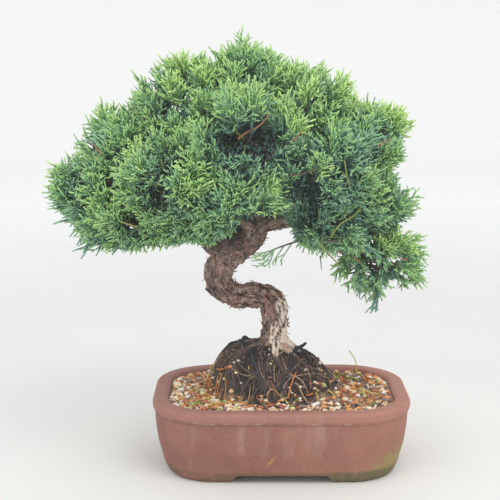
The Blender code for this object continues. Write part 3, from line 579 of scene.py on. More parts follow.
def stoneware():
    """Unglazed red-brown clay: paler lip, scuffs and water marks, and algae by the right foot."""
    g = Graph("stoneware")
    x, y, z = g.axes()
    fine, moss_patches = g.spots(420.0, 4.0), g.spots(170.0, 5.0)
    streaks = g.spots(75.0, 4.0, 0.6, (1.0, 1.0, 0.14))
    g.base = g.mix(g.step(g.spots(38.0, 4.0), 0.32, 0.70), (139, 91, 80), (158, 107, 90))
    g.coat((140, 104, 97), g.step(g.spots(60.0), 0.50, 0.66), 0.45)
    g.coat((136, 90, 78), g.step(fine, 0.35, 0.70), 0.35)
    g.coat((174, 140, 130), g.step(streaks, 0.54, 0.74), 0.45)
    g.coat((176, 125, 113), g.step(z, 0.0500, 0.0529), 0.50)
    front = g.step(y, -0.060, -0.066)
    for middle, half, bottom, share in WATER_MARKS:
        run = g.product(g.step(z, bottom, bottom + 0.010), g.step(z, 0.0500, 0.0440))
        across = g.step(g.distance(x, middle), half, 0.0)
        g.coat((190, 160, 150), across, run, g.step(streaks, 0.38, 0.58), front, share)
    # A slanted ochre drop
    slant = g.math("SUBTRACT", g.math("SUBTRACT", x, -0.0098), g.product(g.math("SUBTRACT", z, 0.0180), 0.7))
    run = g.product(g.step(z, 0.0145, 0.0170), g.step(z, 0.0265, 0.0190))
    g.coat((196, 150, 84), g.step(g.distance(slant, 0.0), 0.0016, 0.0), run, front, 0.70)
    # Scuffs on the lip's lower edge, and the shade under it
    scuffs = g.step(g.spots(160.0, 4.0, stretch=(1.0, 1.0, 3.0)), 0.50, 0.60)
    g.coat((204, 172, 160), g.step(z, 0.0497, 0.0505), g.step(z, 0.0520, 0.0512), scuffs, 0.55)
    g.coat((112, 78, 66), g.step(z, 0.0516, 0.0500), g.step(z, 0.0478, 0.0497), 0.35)
    # Warmer towards the right; darker towards the left, which is painted shade as the light falls from the
    # right; and damp at the foot
    g.coat((186, 132, 106), g.step(x, -0.01, 0.10), 0.30)
    g.coat((132, 86, 74), g.step(x, -0.02, -0.10), 0.16)
    g.coat((112, 88, 64), g.step(z, 0.0110, 0.0070), g.step(g.spots(95.0, 4.0), 0.30, 0.52), 0.72)
    # Algae on the front right corner, moss on its foot
    corner = g.product(g.step(x, 0.062, 0.088), g.step(z, 0.032, 0.010), g.step(y, 0.010, -0.045))
    g.coat((146, 152, 74), corner, g.step(moss_patches, 0.38, 0.56), 0.85)
    foot = g.product(g.step(x, 0.030, 0.045), g.step(z, 0.0125, 0.0080), g.step(y, 0.070, -0.020))
    g.coat((94, 98, 58), foot, g.step(moss_patches, 0.34, 0.50), 0.80)
    g.coat((206, 178, 166), g.step(g.spots(900.0, 1.0), 0.70, 0.76), 0.45)
    g.feed(g.shader.inputs["Roughness"], g.step(fine, -1.2, 1.4))
    return g.done(g.math("ADD", g.product(g.spots(2600.0, 2.0), 0.35), fine), 0.35, 0.0005)


def stone(name, colour):
    """One colour of the gravel, blotched and pitted."""
    g = Graph("gravel_" + name, 0.85, colour)
    pits = g.spots(1900.0, 2.0)
    g.coat((92, 74, 62), g.step(g.spots(520.0, 4.0), 0.40, 0.72), 0.35)
    g.coat((240, 232, 214), g.step(pits, 0.58, 0.72), 0.35)
    return g.done(pits, 0.4, 0.0003)


def earth():
    """Dark, crumbly root soil with fine paler fibres, over a sandy bed."""
    g = Graph("root_soil", 0.95)
    crumbs, strands = g.spots(800.0, 4.0, 0.65), g.spots(1400.0, 2.0, stretch=(1.0, 1.0, 0.25))
    g.base = g.mix(g.step(g.spots(190.0, 4.0), 0.35, 0.68), (50, 43, 41), (92, 77, 66))
    g.coat((140, 116, 92), g.step(crumbs, 0.52, 0.74), 0.6)
    g.coat((172, 150, 126), g.step(strands, 0.60, 0.72), 0.5)
    g.coat((176, 144, 112), g.step(g.axes()[2], 0.0640, 0.0600), 0.8)
    return g.done(crumbs, 0.8, 0.0012)


def bark():
    """Shaggy grey and red-brown bark with fibres along the limb, and bare pale wood."""
    g = Graph("bark", 0.90)

    def grain(scale, detail, roughness, stretch):
        """Noise that runs along the limb."""
        return g.spots(scale, detail, roughness, stretch, "grain")

    patches, flake = grain(110.0, 3.0, 0.55, (1.0, 1.0, 0.7)), grain(420.0, 4.0, 0.6, (1.0, 1.0, 0.45))
    fibre = grain(1000.0, 4.0, 0.65, (1.0, 1.0, 0.12))
    height, bare, (x, _, z) = g.value("relief"), g.value("bare"), g.axes()
    g.base = g.mix(g.step(patches, 0.38, 0.62), (128, 110, 104), (164, 122, 108))
    g.coat((194, 175, 162), g.step(flake, 0.50, 0.62), 0.75)
    g.coat((128, 84, 70), g.step(grain(300.0, 3.0, 0.6, (1.3, 1.3, 0.6)), 0.56, 0.66), 0.60)
    g.coat((86, 68, 62), g.step(fibre, 0.50, 0.34), 0.55)
    g.coat((200, 184, 166), g.step(fibre, 0.60, 0.72), 0.40)
    # Painted shade: darker in the bark's cracks and low places
    g.coat((58, 46, 44), g.step(height, 0.34, 0.04))
    wood = g.mix(g.step(fibre, 0.35, 0.65), (216, 192, 176), (246, 232, 218))
    # The bare wood, with painted shade in its cracks and low places
    g.coat(g.mix(g.product(g.step(height, 0.30, 0.08), 0.75), wood, (112, 84, 72)), bare)
    # Paler above the lowest bend, painted shade in the hollow at the upper left under the boughs, soiled at
    # the foot
    g.coat((200, 184, 174), g.step(z, 0.138, 0.158), 0.20)
    g.coat((52, 50, 46), g.step(z, 0.170, 0.181), g.step(x, -0.024, -0.034), 0.70)
    soil = g.mix(fibre, (40, 34, 32), (96, 80, 70))
    g.coat(soil, g.step(z, 0.1030, 0.0950), g.step(flake, 0.74, 0.58), g.step(bare, 1.1, 0.3), 0.92)
    return g.done(fibre, 0.7, 0.0006)


# Foliage colours from the painted shade inside the crown to the fresh tips: lighter and darker copies of one
# green that stand for light and shade, the lightest also the paler green of new growth
TONES = (
    ("foliage_shade", (72, 100, 100)),
    ("foliage_deep", (96, 136, 124)),
    ("foliage_dark", (120, 164, 138)),
    ("foliage_mid", (142, 188, 144)),
    ("foliage_light", (158, 203, 138)),
    ("foliage_fresh", (177, 217, 135)),
    ("foliage_bud", (201, 233, 145)),
)
# Twig colours; the brown and the red are darkened as painted shade, as most of these twigs stand inside the
# crown
TWIG_COLOURS = (
    ("twig_brown_painted_shade", (72, 62, 57)),
    ("twig_orange", (146, 104, 74)),
    ("twig_red_painted_shade", (92, 70, 62)),
    ("twig_green", (140, 146, 76)),
)
TWIG_SHARES = (6, 1, 2, 3)


def mottled(name, colour, dark, kind):
    """One colour with darker patches, of a kind: how rough, and the patches' scale, steps and bump."""
    roughness, scale, detail, low, high, bump = kind
    g = Graph(name, roughness, colour)
    patches = g.spots(scale, detail)
    g.coat(dark, g.step(patches, low, high))
    return g.done(patches, bump, 0.0003)


def plain(name, colour, roughness):
    """One plain colour."""
    return Graph(name, roughness, colour).done()


# Pot


def rounded_outline(inset, steps=POT_ARC_STEPS):
    """Points round the pot's rim outline, moved inwards by an inset."""
    half_x, half_y = POT_HALF_LENGTH - inset, POT_HALF_DEPTH - inset
    radius = POT_CORNER_RADIUS - inset
    points = []
    for corner, (sx, sy) in enumerate(((1, 1), (-1, 1), (-1, -1), (1, -1))):
        cx, cy = sx * (half_x - radius), sy * (half_y - radius)
        for step in range(steps + 1):
            angle = math.radians(90.0) * (corner + step / steps)
            points.append((cx + radius * math.cos(angle), cy + radius * math.sin(angle)))
    return points


def soften(profile, step, rounds):
    """A profile cut into short steps, with its corners rounded a little."""
    points = []
    for (x0, y0), (x1, y1) in zip(profile, profile[1:]):
        parts = max(1, round(math.hypot(x1 - x0, y1 - y0) / step))
        points += [(x0 + (x1 - x0) * i / parts, y0 + (y1 - y0) * i / parts) for i in range(parts)]
    points.append(profile[-1])
    points = np.array(points)
    for _ in range(rounds):
        points[1:-1] = (points[:-2] + 2.0 * points[1:-1] + points[2:]) / 4.0
    return points


def slot_cutter(half_widths, along_x):
    """A long bar of trapezium section that opens the gap between two pairs of feet."""
    low, high = half_widths
    bpy.ops.mesh.primitive_cube_add(size=2.0)
    bar = bpy.context.object
    for vert in bar.data.vertices:
        side, length, up = vert.co
        across, far = side * (high if up > 0 else low), length * 2.0 * POT_HALF_LENGTH
        x, y = (far, -across) if along_x else (across, far)
        vert.co = (x, y, FOOT_HEIGHT if up > 0 else -FOOT_HEIGHT)
    return bar


def cut(obj, cutters):
    """Takes the cutters out of the object, one after another, and removes them."""
    for cutter in cutters:
        modifier = obj.modifiers.new("cut", "BOOLEAN")
        modifier.operation = "DIFFERENCE"
        modifier.object = cutter
    graph = bpy.context.evaluated_depsgraph_get()
    mesh = bpy.data.meshes.new_from_object(obj.evaluated_get(graph))
    obj.modifiers.clear()
    obj.data = mesh
    for cutter in cutters:
        bpy.data.objects.remove(cutter)


def make_pot():
    """The pot with a rolled lip, a soft ledge under it, a foot band and four corner feet."""
    profile = soften(POT_OUTSIDE + POT_INSIDE, PROFILE_STEP, PROFILE_ROUNDS)
    rings = [rounded_outline(inset) for inset, _ in profile]
    points = [(x, y, z) for ring, (_, z) in zip(rings, profile) for x, y in ring]
    faces = loft(len(rings[0]), len(rings))
    pot = array_object("pot_body", np.array(points), faces, [stoneware()])
    cutters = [slot_cutter(SLOT_HALF_X, False), slot_cutter(SLOT_HALF_Y, True)]
    for side in (-1, 1):
        place = (side * DRAIN_HOLE_X, 0.0, 0.0)
        bpy.ops.mesh.primitive_cylinder_add(
            vertices=32, radius=DRAIN_HOLE_RADIUS, depth=4 * FLOOR_TOP, location=place
        )
        cutters.append(bpy.context.object)
    cut(pot, cutters)
    smooth_up_to(pot, POT_SMOOTH)
    finish_piece(pot, "stoneware", "pot")


# Soil


def mound_side(dx, dy):
    """Distance of places from the mound's centre, and the mound's reach and bulge there."""
    distance = np.hypot(dx, dy) + TINY
    ways = {"right": dx, "back": dy, "left": -dx, "front": -dy}
    shares = {side: (np.maximum(way, 0.0) / distance) ** 2 for side, way in ways.items()}
    reach, bulge = (sum(shares[side] * row[i] for side, row in MOUND_SIDES.items()) for i in (0, 1))
    return distance, reach, bulge


def mound_rise(x, y):
    """Height of the root mound above the bed at places."""
    distance, reach, bulge = mound_side(x - MOUND_CENTRE[0], y - MOUND_CENTRE[1])
    out = np.clip((distance - MOUND_TOP_RADIUS) / (reach - MOUND_TOP_RADIUS), 0.0, 1.0)
    return MOUND_HEIGHT * (1.0 - out**bulge)


def stone_tops():
    """The highest points of the gravel's main stones, as x, y and height over the bed."""
    chance = random.Random(31)
    roots = [sample for index in range(ROOT_COUNT) for sample in root_samples(index)]
    inset = inner_edge(BED_HEIGHT) + STONES_FROM_WALL
    reach = int(2.0 * POT_HALF_LENGTH / STONE_SPACING)
    for row in range(-reach, reach + 1):
        for column in range(-reach, reach + 1):
            x = (column + row / 2) * STONE_SPACING + chance.uniform(-STONE_JITTER, STONE_JITTER)
            y = row * math.sqrt(0.75) * STONE_SPACING + chance.uniform(-STONE_JITTER, STONE_JITTER)
            top, _ = chance.uniform(*STONE_TOPS), chance.uniform(*STONE_GAPS)
            distance, edge, _ = mound_side(x - MOUND_CENTRE[0], y - MOUND_CENTRE[1])
            if not inside_pot(x, y, inset) or distance < edge + STONES_FROM_MOUND:
                continue
            if any(math.hypot(x - s[0], y - s[1]) < STONES_FROM_ROOTS for s in roots):
                continue
            if (column - row) % 3 == 0:
                yield x, y, top


def soil_height(x, y):
    """Height of the finished soil surface, with its lumps and the furrows down the mound."""
    x, y = np.atleast_1d(x).astype(float), np.atleast_1d(y).astype(float)
    rise = mound_rise(x, y)
    on_mound = ramp(rise, 0.001, 0.012)
    dx, dy = x - MOUND_CENTRE[0], y - MOUND_CENTRE[1]
    flat = np.stack([x, y, np.zeros_like(x)], axis=1)
    around = np.stack([np.arctan2(dy, dx) * 6.0, np.hypot(dx, dy) * 40.0, np.zeros_like(x)], axis=1)
    lumps = layered(flat * 130.0, 3, 4)
    furrows = layered(around, 7, 3, 0.6)
    height = BED_HEIGHT + rise + (0.0004 * lumps - GRAVEL_DEPTH) * (1.0 - on_mound)
    under_trunk = ramp(np.hypot(dx, dy), 0.010, 0.018)
    return height + on_mound * under_trunk * (0.0011 * lumps + 0.0017 * furrows - 0.0008)


def inner_edge(height):
    """Inset of the pot's inner wall at a height."""
    for (upper_inset, upper_z), (lower_inset, lower_z) in zip(POT_INSIDE, POT_INSIDE[1:]):
        if lower_z <= height <= upper_z:
            return lower_inset + (upper_inset - lower_inset) * (height - lower_z) / (upper_z - lower_z)
    return POT_INSIDE[-1][0]


def smooth_up_to(obj, degrees):
    """Smooth shading, with edges sharper than an angle kept."""
    obj.data.shade_smooth()
    obj.data.set_sharp_from_angle(angle=math.radians(degrees))


def make_soil():
    """The soil that fills the pot, with the rough root mound standing out of it."""
    edge, *wall = (
        np.array(rounded_outline(inner_edge(height) + SOIL_FROM_WALL, SOIL_SPOKES // 4 - 1))
        for height in (BED_HEIGHT, *SOIL_WALL)
    )
    centre = np.array(MOUND_CENTRE)
    rings = [np.column_stack([ring, np.full(len(ring), z)]) for ring, z in zip(wall, SOIL_WALL)]
    for ring in range(SOIL_RINGS):
        x, y = (centre + (edge - centre) * (1.0 - ring / SOIL_RINGS)).T
        rings.append(np.stack([x, y, soil_height(x, y)], axis=1))
    soil = array_object("soil_bed", np.concatenate(rings), loft(len(edge), len(rings)), [earth()])
    finish_piece(soil, "soil", "soil")


def pebble_shapes(chance, count=16):
    """Angular little stones of unit size."""
    shapes = []
    for _ in range(count):
        bm = bmesh.new()
        bmesh.ops.create_icosphere(bm, subdivisions=2, radius=1.0)
        points = np.array([vert.co[:] for vert in bm.verts])
        faces = np.array([[vert.index for vert in face.verts] for face in bm.faces])
        bm.free()
        for _ in range(9):
            normal = np.array([chance.gauss(0, 1) for _ in range(3)])
            normal /= np.linalg.norm(normal)
            reach = chance.uniform(0.55, 0.90)
            over = np.maximum(points @ normal - reach, 0.0)
            points -= over[:, None] * normal * 0.92
        points += 0.05 * np.stack([noise(points * 2.3, s) for s in (1, 2, 3)], axis=1)
        shapes.append((points, faces))
    return shapes


# Colours of the stones, with their shares at the left and right end of the pot
GRAVEL = (
    ("cream", (255, 240, 212), 42, 8),
    ("tan", (246, 210, 162), 28, 14),
    ("orange", (236, 164, 104), 15, 17),
    ("purple", (152, 122, 120), 2, 22),
    ("brown", (142, 108, 90), 3, 18),
    ("pale", (252, 246, 238), 22, 7),
    ("olive", (200, 196, 128), 6, 5),
    ("brick", (184, 104, 82), 4, 12),
    ("black", (80, 70, 70), 1, 7),
)
# Larger stones that show on the bed and the mound: place and radius in the picture's pixels, colour
SHOWN_STONES = (
    (241.3, 351.9, 2.7, "olive"), (238.2, 361.8, 2.4, "pale"), (224.4, 379.4, 2.2, "olive"),
    (218.5, 382.3, 2.2, "olive"), (305.3, 370.8, 2.4, "tan"), (317.9, 370.3, 3.2, "olive"),
    (323.6, 386.0, 3.6, "olive"), (346.3, 389.7, 4.6, "cream"), (317.0, 364.5, 2.4, "tan"),
    (325.0, 374.0, 2.4, "pale"), (199.0, 390.6, 3.6, "cream"), (175.8, 385.4, 3.6, "cream"),
    (182.7, 391.5, 4.2, "pale"), (174.5, 394.0, 3.6, "orange"), (185.3, 383.7, 3.2, "pale"),
    (195.0, 380.5, 2.6, "tan"), (237.8, 407.8, 3.0, "olive"), (231.0, 391.5, 3.0, "tan"),
    (372.0, 405.0, 3.2, "pale"), (374.0, 384.0, 3.0, "orange"), (305.8, 392.3, 1.8, "brick"),
    (208.0, 402.0, 2.6, "cream"), (330.5, 404.5, 3.0, "cream"), (361.0, 379.0, 2.6, "orange"),
)


def inside_pot(x, y, inset):
    """True within the pot's inner outline, with an inset more."""
    across = max(abs(x) - (POT_HALF_LENGTH - POT_CORNER_RADIUS), 0.0)
    back = max(abs(y) - (POT_HALF_DEPTH - POT_CORNER_RADIUS), 0.0)
    return math.hypot(across, back) < POT_CORNER_RADIUS - inset


def tumbled(chance, lean):
    """A turn by chance about the vertical after a lean of at most some radians."""
    turn = Matrix.Rotation(chance.uniform(0, math.tau), 3, "Z")
    return np.array(turn @ Matrix.Rotation(chance.uniform(-lean, lean), 3, "X")).T


def make_gravel():
    """The layer of small stones on the bed, with a few that cling to the mound."""
    chance = random.Random(5)
    shapes = pebble_shapes(chance)
    names = [row[0] for row in GRAVEL]
    heap = Heap()

    def lay(x, y, z, size, flat):
        """One stone of the gravel, turned and tilted by chance."""
        side = (x / POT_HALF_LENGTH + 1.0) / 2
        weights = [left + (right - left) * side for _, _, left, right in GRAVEL]
        kind = chance.choices(range(len(GRAVEL)), weights)[0]
        points, faces = chance.choice(shapes)
        stretch = np.array([1.0, chance.uniform(0.65, 0.95), flat])
        heap.add((points * stretch * size) @ tumbled(chance, 0.5) + (x, y, z), faces, kind)

    for x, y, top in stone_tops():
        size, flat = chance.uniform(0.0024, 0.0034), chance.uniform(0.50, 0.70)
        lay(x, y, BED_HEIGHT + top - 0.75 * flat * size, size, flat)
    for u, v, radius, name in SHOWN_STONES:
        x, y, z = seen_on_soil(u, v)
        points, faces = chance.choice(shapes)
        size = radius * PIXEL_SIZE
        heap.add(points * (1.0, 0.85, 0.80) * size + (x, y, z + 0.25 * size), faces, names.index(name))
    foot, upper, top = MOUND_STONE_RISES
    placed = 0
    while placed < PEBBLES:
        x = chance.uniform(-POT_HALF_LENGTH, POT_HALF_LENGTH)
        y = chance.uniform(-POT_HALF_DEPTH, POT_HALF_DEPTH)
        size = chance.choice(PEBBLE_SIZES) * chance.uniform(0.85, 1.15)
        rise = float(mound_rise(x, y))
        if not inside_pot(x, y, inner_edge(BED_HEIGHT) + size * 0.9):
            continue
        share = MOUND_STONE_SHARES[rise >= upper]
        if rise > foot and (chance.random() > share or size > MOUND_STONE_SIZE or rise > top):
            continue
        placed += 1
        z = float(soil_height(x, y)[0]) + size * chance.uniform(0.0, 0.7)
        lay(x, y, z, size, chance.uniform(0.45, 0.75))
    gravel = heap.build("gravel", [stone(name, colour) for name, colour, _, _ in GRAVEL], smooth=False)
    smooth_up_to(gravel, GRAVEL_SMOOTH)
    finish_piece(gravel, "soil")


def seen_on_soil(u, v):
    """The place on the soil that the photograph's camera sees at a pixel."""
    right, up = (u - PICTURE_SIDE / 2) * PIXEL_SIZE, (PICTURE_SIDE / 2 - v) * PIXEL_SIZE
    sin, cos = math.sin(CAMERA_TILT), math.cos(CAMERA_TILT)
    reach = np.arange(0.85, 1.15, 0.0004)[:, None]
    places = np.array(CAMERA_PLACE) + reach * (right, cos + up * sin, up * cos - sin)
    return places[int(np.argmax(places[:, 2] < soil_height(places[:, 0], places[:, 1])))]


def lying(path, lift):
    """A path over the soil from flat places, at a height above its surface."""
    path = np.asarray(path, float)
    lifts = np.broadcast_to(np.asarray(lift, float), (len(path),))
    return np.column_stack([path, soil_height(path[:, 0], path[:, 1]) + lifts])


def laid(places, steps, lift):
    """A smooth path through places, which are free or lie at a height above the soil."""
    path = curved(places, steps)
    return np.array(path) if len(places[0]) == 3 else lying(path, lift)


def curved(points, steps):
    """Catmull-Rom samples through points of any number of coordinates."""
    points = [tuple(p) for p in points]
    ends = [points[0], *points, points[-1]]
    samples = []
    for i in range(len(points) - 1):
        a, b, c, d = ends[i : i + 4]
        for step in range(steps):
            t = step / steps
            samples.append(tuple(
                0.5 * (2 * q + (r - p) * t + (2 * p - 5 * q + 4 * r - s) * t * t
                       + (3 * q - p - 3 * r + s) * t**3)
                for p, q, r, s in zip(a, b, c, d)
            ))
    samples.append(points[-1])
    return samples


# Colours of the fine roots, each with its patches and its share
ROOT_COLOURS = (
    ("black", (56, 50, 50), (32, 29, 32), 8),
    ("brown", (108, 86, 74), (62, 50, 46), 5),
    ("plum", (120, 98, 96), (78, 64, 64), 3),
    ("tan", (176, 150, 124), (120, 98, 82), 2),
)


def make_fine_roots():
    """The tangle of thin old roots that runs down the mound."""
    chance = random.Random(21)
    heap = Heap()
    weights = [row[3] for row in ROOT_COLOURS]
    t = np.linspace(0.0, 1.0, 10)
    for index in range(FINE_ROOTS):
        angle, start = chance.uniform(0.0, math.tau), chance.uniform(0.006, 0.036)
        crossing = index % 4 == 0
        length = chance.uniform(0.008, 0.016) if crossing else chance.uniform(0.008, 0.030)
        thick = chance.choice((0.00028, 0.00035, 0.00045, 0.0006, 0.0008, 0.0011))
        drift = chance.uniform(-4.0, 4.0) if crossing else chance.uniform(-1.3, 1.3)
        wiggle, phase = chance.uniform(0.0005, 0.0030), chance.uniform(0.0, math.tau)
        distance, turn = start + length * t, angle + drift * t * 0.5
        side = wiggle * np.sin(phase + 7.0 * t)
        x = MOUND_CENTRE[0] + distance * np.cos(turn) - side * np.sin(turn)
        y = MOUND_CENTRE[1] + distance * np.sin(turn) + side * np.cos(turn)
        lifts = thick * 0.5 + 0.0022 * np.sin(math.pi * t) * (0.3 + 0.7 * math.sin(phase)) ** 2
        if inside_pot(x[-1], y[-1], inner_edge(BED_HEIGHT) + 0.002):
            kind = chance.choices(range(len(ROOT_COLOURS)), weights)[0]
            heap.add(*tube(lying(np.stack([x, y], axis=1), lifts), thick * (1.0 - 0.55 * t), 5), kind)
    materials = [mottled("root_" + name, colour, dark, ROOT_SKIN) for name, colour, dark, _ in ROOT_COLOURS]
    finish_piece(heap.build("fine_roots", materials), "soil")


# Colours of the dead needles and chips, each with its patches
LITTER_COLOURS = (
    ("orange", (226, 144, 70), (176, 100, 50)),
    ("rust", (170, 96, 58), (118, 64, 42)),
    ("straw", (220, 206, 104), (182, 156, 76)),
    ("green", (134, 176, 70), (86, 132, 52)),
    ("tan", (196, 160, 118), (140, 106, 76)),
)
# Their shares among needles and chips, and the straws' place among them
NEEDLE_SHARES = (40, 22, 10, 10, 18)
CHIP_SHARES = (34, 30, 8, 8, 20)
STRAW_KIND = 2
# Colours of the loose bark, each with its patches
FLAKE_COLOURS = (
    ("bark_grey", (136, 118, 108), (92, 76, 70)),
    ("bark_red", (156, 112, 94), (104, 74, 64)),
    ("bark_pale", (190, 172, 156), (142, 120, 106)),
    ("bark_dark", (88, 70, 64), (58, 46, 44)),
)
FLAKE_SHARES = (4, 3, 2, 2)
# Litter that the photograph shows at certain places, as flat places on the soil and a thickness
TIE_WIRES = (
    ((-0.0252, -0.0158), (-0.0228, -0.0230), (-0.0188, -0.0288), (-0.0148, -0.0337), (-0.0117, -0.0376)),
    ((0.0120, -0.0040), (0.0078, -0.0180), (0.0044, -0.0263), (0.0011, -0.0309), (0.0003, -0.0345)),
)
TIE_WIRE_RADIUS = 0.0011
STRAWS = (
    (((-0.0260, -0.0254), (-0.0252, -0.0283), (-0.0240, -0.0310)), 0.00055),
    (((-0.0139, -0.0186), (-0.0106, -0.0100)), 0.00050),
    (((-0.0075, -0.0194), (-0.0027, -0.0209), (0.0022, -0.0198)), 0.00055),
    (((0.0130, -0.0075), (0.0177, -0.0129), (0.0225, -0.0160)), 0.00050),
    (((-0.0077, -0.0319), (-0.0006, -0.0358), (0.0065, -0.0399)), 0.00060),
    (((0.0450, 0.0020), (0.0493, -0.0060), (0.0500, -0.0110)), 0.00050),
    (
        ((0.0642, 0.0300, 0.0620), (0.0638, 0.0300, 0.0715), (0.0617, 0.0300, 0.0767),
         (0.0578, 0.0300, 0.0825)),
        0.00045,
    ),
)
# Thick root ends round the trunk's foot: flat places, radius at both ends, and charred or pale
STUBS = (
    (((-0.0335, 0.0030), (-0.0255, -0.0020), (-0.0185, -0.0085)), 0.0026, 0.0030, 0),
    (((-0.0300, 0.0100), (-0.0240, 0.0040), (-0.0170, 0.0000)), 0.0024, 0.0028, 0),
    (((-0.0010, -0.0080), (0.0035, -0.0100), (0.0075, -0.0135)), 0.0030, 0.0026, 1),
    (
        ((0.0090, -0.0115, 0.0895), (0.0122, -0.0120, 0.0948), (0.0165, -0.0120, 0.0968),
         (0.0198, -0.0120, 0.0995)),
        0.0020, 0.0011, 0,
    ),
    (((0.0150, -0.0120, 0.0955), (0.0172, -0.0125, 0.0935), (0.0190, -0.0125, 0.0905)), 0.0016, 0.0012, 0),
)


def lay_needles(heap, chance):
    """Dead needles of five colours, most of them at the front left."""
    t = np.linspace(0.0, 1.0, 8)
    for _ in range(NEEDLE_TRIES):
        x, y = chance.uniform(-0.088, 0.088), chance.uniform(-0.064, 0.064)
        if not inside_pot(x, y, 0.019) or mound_rise(x, y) > chance.choice((0.004, 0.006, 0.006, 0.020)):
            continue
        if not (x < -0.010 and y < 0.0) and chance.random() > 0.45:
            continue
        heading, bend = chance.uniform(0.0, math.tau), chance.uniform(-2.2, 2.2)
        length, thick = chance.uniform(0.005, 0.016), chance.choice((0.00045, 0.00055, 0.00070))
        lifts = [0.0018 + 0.0024 * math.sin(math.pi * part) * chance.uniform(0.8, 1.0) for part in t]
        turn = heading + bend * t[:-1]
        steps = np.stack([np.cos(turn), np.sin(turn)], axis=1) * length / len(turn)
        path = (x, y) + np.concatenate([np.zeros((1, 2)), np.cumsum(steps, axis=0)])
        if inside_pot(*path[-1], 0.015):
            kind = chance.choices(range(5), NEEDLE_SHARES)[0]
            heap.add(*tube(lying(path, lifts), thick * (1.0 - 0.4 * t), 5), kind)


def lay_chips(heap, chance):
    """Flat chips of bark on the bed."""
    shapes = pebble_shapes(chance, 6)
    for _ in range(CHIP_TRIES):
        x, y = chance.uniform(-0.086, 0.086), chance.uniform(-0.062, 0.062)
        if not inside_pot(x, y, 0.019) or float(mound_rise(x, y)) > 0.012:
            continue
        points, faces = chance.choice(shapes)
        size = chance.uniform(0.0016, 0.0036)
        stretch = np.array([1.0, chance.uniform(0.35, 0.7), chance.uniform(0.16, 0.3)])
        z = float(soil_height(x, y)[0]) + 0.0018
        points = (points * stretch * size) @ tumbled(chance, 0.9) + (x, y, z)
        heap.add(points, faces, chance.choices(range(5), CHIP_SHARES)[0])


def make_litter():
    """Dead needles, straws, bits of green and chips of bark on the soil, and the tie wires."""
    chance = random.Random(8)
    heap = Heap()
    for places, thick in STRAWS:
        path = laid(places, 5, thick * 1.4)
        heap.add(*tube(path, [thick] * len(path), 6), STRAW_KIND)
    lay_needles(heap, chance)
    lay_chips(heap, chance)
    materials = [mottled("litter_" + name, colour, dark, DRY_LEAF) for name, colour, dark in LITTER_COLOURS]
    finish_piece(heap.build("litter", materials), "soil")
    wires = Heap()
    for places in TIE_WIRES:
        path = laid(places, 6, TIE_WIRE_RADIUS + 0.0014)
        wires.add(*tube(path, [TIE_WIRE_RADIUS] * len(path), 10))
    coating = mottled("tie_wire", (34, 36, 42), (84, 88, 98), WIRE_COATING)
    finish_piece(wires.build("tie_wires", [coating]), "soil")
    stubs = Heap()
    for places, thick, thin, kind in STUBS:
        path = laid(places, 4, thick * 0.8)
        points, faces = tube(path, np.linspace(thick, thin, len(path)), 9)
        stubs.add(points + 0.0004 * noise(points * 420.0, 5)[:, None], faces, kind)
    materials = [mottled("root_charred", (52, 54, 62), (28, 28, 34), ROOT_SKIN),
                 mottled("root_pale", (204, 176, 154), (150, 116, 98), ROOT_SKIN)]
    finish_piece(stubs.build("root_stubs", materials), "soil")


# Trunk and boughs


def root_samples(index):
    """One surface root, from inside the flare down the mound."""
    chance = random.Random(100 + index)
    start_angle = math.tau * (index + chance.uniform(-ROOT_SPREAD, ROOT_SPREAD)) / ROOT_COUNT
    reach = chance.uniform(*ROOT_REACH)
    thick = ROOT_RADIUS[0] * chance.uniform(ROOT_THINNEST, 1.0)
    bend = chance.uniform(-ROOT_BEND, ROOT_BEND)
    base = TRUNK_WAYPOINTS[0]
    samples = [(base[0], base[1], ROOT_TOP_HEIGHT, thick)]
    for step in range(1, ROOT_STEPS + 1):
        t = step / ROOT_STEPS
        angle = start_angle + bend * t * t
        distance = ROOT_START + (reach - ROOT_START) * t
        radius = thick + (ROOT_RADIUS[1] - thick) * t**0.7
        x = base[0] + distance * math.cos(angle)
        y = base[1] + distance * math.sin(angle)
        standing = ROOT_STANDING * radius - ROOT_DIVE * t**6
        samples.append((x, y, BED_HEIGHT + float(mound_rise(x, y)) + standing, radius))
    return samples


def point_along(samples, share):
    """Place and radius at a share of a limb's samples."""
    at = share * (len(samples) - 1)
    low = min(int(at), len(samples) - 2)
    t = at - low
    return tuple(a + (b - a) * t for a, b in zip(samples[low], samples[low + 1]))


def reach_in_mass(point, mass):
    """How far out a point lies in a mass's space: 0 at its heart and 1 at its edge."""
    centre, radii = MASSES[mass][:2]
    return math.sqrt(sum(((p - c) / r) ** 2 for p, c, r in zip(point, centre, radii)))


def bough_samples(name, limbs):
    """Centreline and radius of one bough, from inside its parent to its mass's edge."""
    parent, share, mass, base_radius, tip_radius, rise = BOUGHS[name]
    start = Vector(point_along(limbs[parent], share)[:3])
    centre = Vector(MASSES[mass][0])
    entry = min(BOUGH_LONGEST_SHARE, BOUGH_ENTRY / reach_in_mass(start, mass))
    end = centre + (start - centre) * entry
    chance = random.Random(name)
    aside = (end - start).cross(Vector((0, 0, 1))).normalized()
    sway = aside * chance.uniform(-BOUGH_SWAY, BOUGH_SWAY)
    samples = []
    for step in range(BOUGH_STEPS + 1):
        t = step / BOUGH_STEPS
        swell = math.sin(math.pi * t)
        point = start.lerp(end, t) + Vector((0, 0, rise)) * swell + sway * math.sin(math.tau * t)
        samples.append((*point, base_radius + (tip_radius - base_radius) * t))
    return samples


